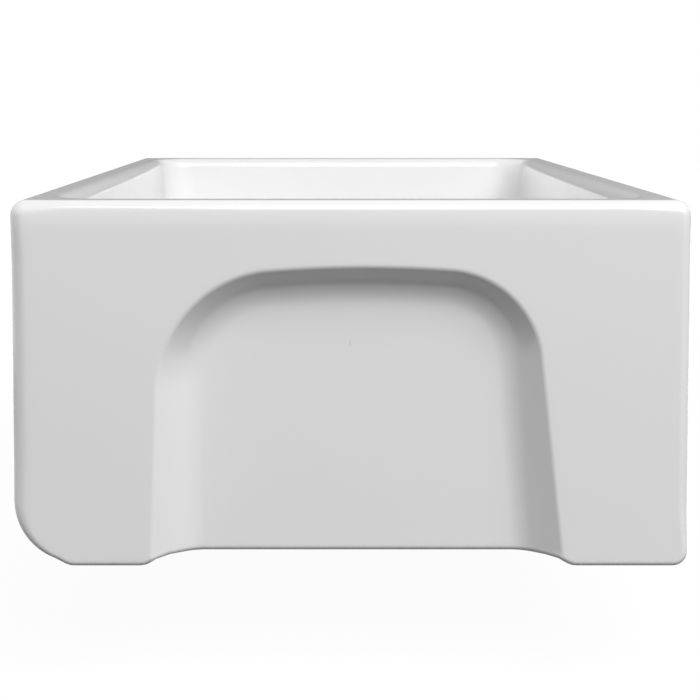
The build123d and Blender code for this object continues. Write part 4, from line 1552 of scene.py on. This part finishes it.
def studio_material(name, tone, glow, far_glow):
    """Matt sheet that takes the object's shadow, and glows for the camera and for gloss."""
    material, maker, place = new_material(name)
    grain = noise(maker, place, 30.0)
    matt = maker.mix(grain, shade(tone, 0.96), tuple(tone))
    matt = maker.add("ShaderNodeBsdfDiffuse", Color=matt)
    away = (maker.vector("LENGTH", place, output=1) - GLOW_NEAR) / GLOW_RUN
    far = maker.math("MINIMUM", maker.math("MAXIMUM", away, 0.0), 1.0)
    strength = seen_directly(maker) * (glow + far * (far_glow - glow))
    shine = maker.add("ShaderNodeEmission", Strength=strength)
    close_tree(maker, maker.add_shaders(matt, shine))
    return material


def upright_sheet(start, end):
    """Corners of an upright sheet between two opposite corners."""
    (x0, y0, low), (x1, y1, high) = start, end
    return [(x0, y0, low), (x1, y1, low), (x1, y1, high), (x0, y0, high)]


def level_sheet(start, end, height):
    """Corners of a level sheet between two opposite corners."""
    (x0, y0), (x1, y1) = start, end
    return [(x0, y0, height), (x1, y0, height), (x1, y1, height), (x0, y1, height)]


def stage_sheet(name, corners, material):
    mesh = bpy.data.meshes.new(name)
    mesh.from_pydata(corners, [], [(0, 1, 2, 3)])
    mesh.materials.append(material)
    return new_object(name, mesh)


def grey_card(name, corners, tone, glow):
    """A card that only gloss and bounced light see."""
    card = stage_sheet(name, corners, studio_material(f"studio_{name}", tone, glow, glow))
    card.visible_camera = False
    card.visible_shadow = False
    return card


def lay_floor_and_cards(look):
    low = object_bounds()[0][2]
    corners = level_sheet((-FLOOR_REACH, -FLOOR_REACH), (FLOOR_REACH, FLOOR_REACH), low)
    floor = studio_material("studio_floor", look.floor_colour, look.floor_glow, 1.0)
    stage = [stage_sheet("studio_floor", corners, floor)]
    for name, glow, start, end in CARDS:
        corners = upright_sheet(start, end)
        stage.append(grey_card(name, corners, look.card_colour, getattr(look, glow)))
    corners = level_sheet(*LOWER_CARD, low + CARD_LIFT)
    stage.append(grey_card("card_below", corners, look.card_colour, look.under_glow))
    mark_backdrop(*stage)


def light_world(look):
    world = bpy.data.worlds.new("studio")
    bpy.context.scene.world = world
    world.use_nodes = True
    world.node_tree.nodes.clear()
    maker = Maker(world.node_tree)
    strength = look.sky_light + seen_directly(maker) * (1.0 - look.sky_light)
    sky = maker.add("ShaderNodeBackground", Color=(1, 1, 1), Strength=strength)
    close_tree(maker, sky, "World")


def soft_lamp(name, watts, size, place, aim):
    data = bpy.data.lights.new(name, "AREA")
    data.shape = "RECTANGLE"
    data.size, data.size_y = size
    data.energy = watts
    lamp = bpy.data.objects.new(name, data)
    bpy.context.scene.collection.objects.link(lamp)
    lamp.location = place
    lamp.rotation_euler = (Vector(place) - Vector(aim)).to_track_quat("Z", "Y").to_euler()
    lamp.visible_camera = False


def hang_lamps(look):
    aim = Vector((SINK_LENGTH / 2, 0, SINK_HEIGHT / 2))
    level = cos(look.key_rise)
    way = Vector((level * cos(look.key_turn), level * sin(look.key_turn), sin(look.key_rise)))
    size = (look.key_width * MM, look.key_height * MM)
    soft_lamp("key_lamp", look.key_watts, size, aim + way * look.key_distance * MM, aim)
    for name, place in FILL_PLACES.items():
        soft_lamp(name, look.fill_watts, FILL_SIZE, place, (0, 0, SINK_HEIGHT / 2))


def place_camera(look):
    data = bpy.data.cameras.new("camera")
    data.sensor_width = SENSOR_WIDTH
    data.lens = look.camera_lens
    data.shift_x = look.shift_x
    data.shift_y = look.shift_y
    camera = bpy.data.objects.new("camera", data)
    bpy.context.scene.collection.objects.link(camera)
    camera.location = look.camera_place
    camera.rotation_euler = Euler((pi / 2 - look.camera_tilt, 0, pi / 2))
    bpy.context.scene.camera = camera


def build_stage(look):
    bpy.context.scene.view_settings.view_transform = "Standard"
    light_world(look)
    lay_floor_and_cards(look)
    hang_lamps(look)
    place_camera(look)


# ------------------------------------------------------------------ operators
class SINK_OT_casting(bpy.types.Operator):
    """Build the glazed casting with its bowl, foot rails and alcoves"""

    bl_idname = "sink.casting"
    bl_label = "Fireclay casting"

    def execute(self, context):
        scene = context.scene
        build_casting(sizes_of(scene.sink_sizes), sizes_of(scene.alcove_sizes), scene.finishes)
        return {"FINISHED"}


class SINK_OT_strainer(bpy.types.Operator):
    """Finish the strainer's body, its thread and its putty bed"""

    bl_idname = "sink.strainer"
    bl_label = "Strainer"

    def execute(self, context):
        build_strainer(sizes_of(context.scene.nut_sizes), context.scene.finishes)
        return {"FINISHED"}


class SINK_OT_clamping(bpy.types.Operator):
    """Build the lock nut and finish the gasket and ring above it"""

    bl_idname = "sink.clamping"
    bl_label = "Clamping stack"

    def execute(self, context):
        build_clamping(sizes_of(context.scene.nut_sizes), context.scene.finishes)
        return {"FINISHED"}


class SINK_OT_tail(bpy.types.Operator):
    """Build the coupling nut and finish the tailpiece and washer"""

    bl_idname = "sink.tail"
    bl_label = "Tailpiece"

    def execute(self, context):
        build_tail(sizes_of(context.scene.nut_sizes), context.scene.finishes)
        return {"FINISHED"}


class SINK_OT_basket(bpy.types.Operator):
    """Build the perforated basket and finish its bush and grip ring"""

    bl_idname = "sink.basket"
    bl_label = "Basket"

    def execute(self, context):
        build_basket(sizes_of(context.scene.basket_sizes), context.scene.finishes)
        return {"FINISHED"}


class SINK_OT_stopper(bpy.types.Operator):
    """Build the knob and finish the post, plate, seal and nut"""

    bl_idname = "sink.stopper"
    bl_label = "Stopper"

    def execute(self, context):
        build_stopper(sizes_of(context.scene.knob_sizes), context.scene.finishes)
        return {"FINISHED"}


class SINK_OT_stage(bpy.types.Operator):
    """Set out the floor, cards, lamps, world and camera"""

    bl_idname = "sink.stage"
    bl_label = "Stage"

    def execute(self, context):
        build_stage(sizes_of(context.scene.stage_look))
        return {"FINISHED"}


STEPS = (
    SINK_OT_casting,
    SINK_OT_strainer,
    SINK_OT_clamping,
    SINK_OT_tail,
    SINK_OT_basket,
    SINK_OT_stopper,
    SINK_OT_stage,
)
SETTINGS = {
    "sink_sizes": SinkSizes,
    "alcove_sizes": AlcoveSizes,
    "basket_sizes": BasketSizes,
    "nut_sizes": NutSizes,
    "knob_sizes": KnobSizes,
    "finishes": Finishes,
    "stage_look": StageLook,
}


class SINK_PT_steps(bpy.types.Panel):
    """Lists the steps and the settings of the sink"""

    bl_idname = "SINK_PT_steps"
    bl_label = "Farmhouse sink"
    bl_space_type = "VIEW_3D"
    bl_region_type = "UI"
    bl_category = "Sink"

    def draw(self, context):
        for step in STEPS:
            self.layout.operator(step.bl_idname)
        for name in SETTINGS:
            box = self.layout.box()
            box.label(text=name.replace("_", " ").capitalize())
            group = getattr(context.scene, name)
            for prop in group.bl_rna.properties:
                if prop.identifier not in ("rna_type", "name"):
                    box.prop(group, prop.identifier)


CLASSES = (*SETTINGS.values(), *STEPS, SINK_PT_steps)


def register():
    for one in CLASSES:
        bpy.utils.register_class(one)
    for name, group in SETTINGS.items():
        setattr(bpy.types.Scene, name, PointerProperty(type=group))


def unregister():
    for name in SETTINGS:
        delattr(bpy.types.Scene, name)
    for one in reversed(CLASSES):
        bpy.utils.unregister_class(one)


def main():
    register()
    bpy.ops.sink.casting()
    bpy.ops.sink.strainer()
    bpy.ops.sink.clamping()
    bpy.ops.sink.tail()
    bpy.ops.sink.basket()
    bpy.ops.sink.stopper()
    bpy.ops.sink.stage()


if __name__ == "__main__":
    main()
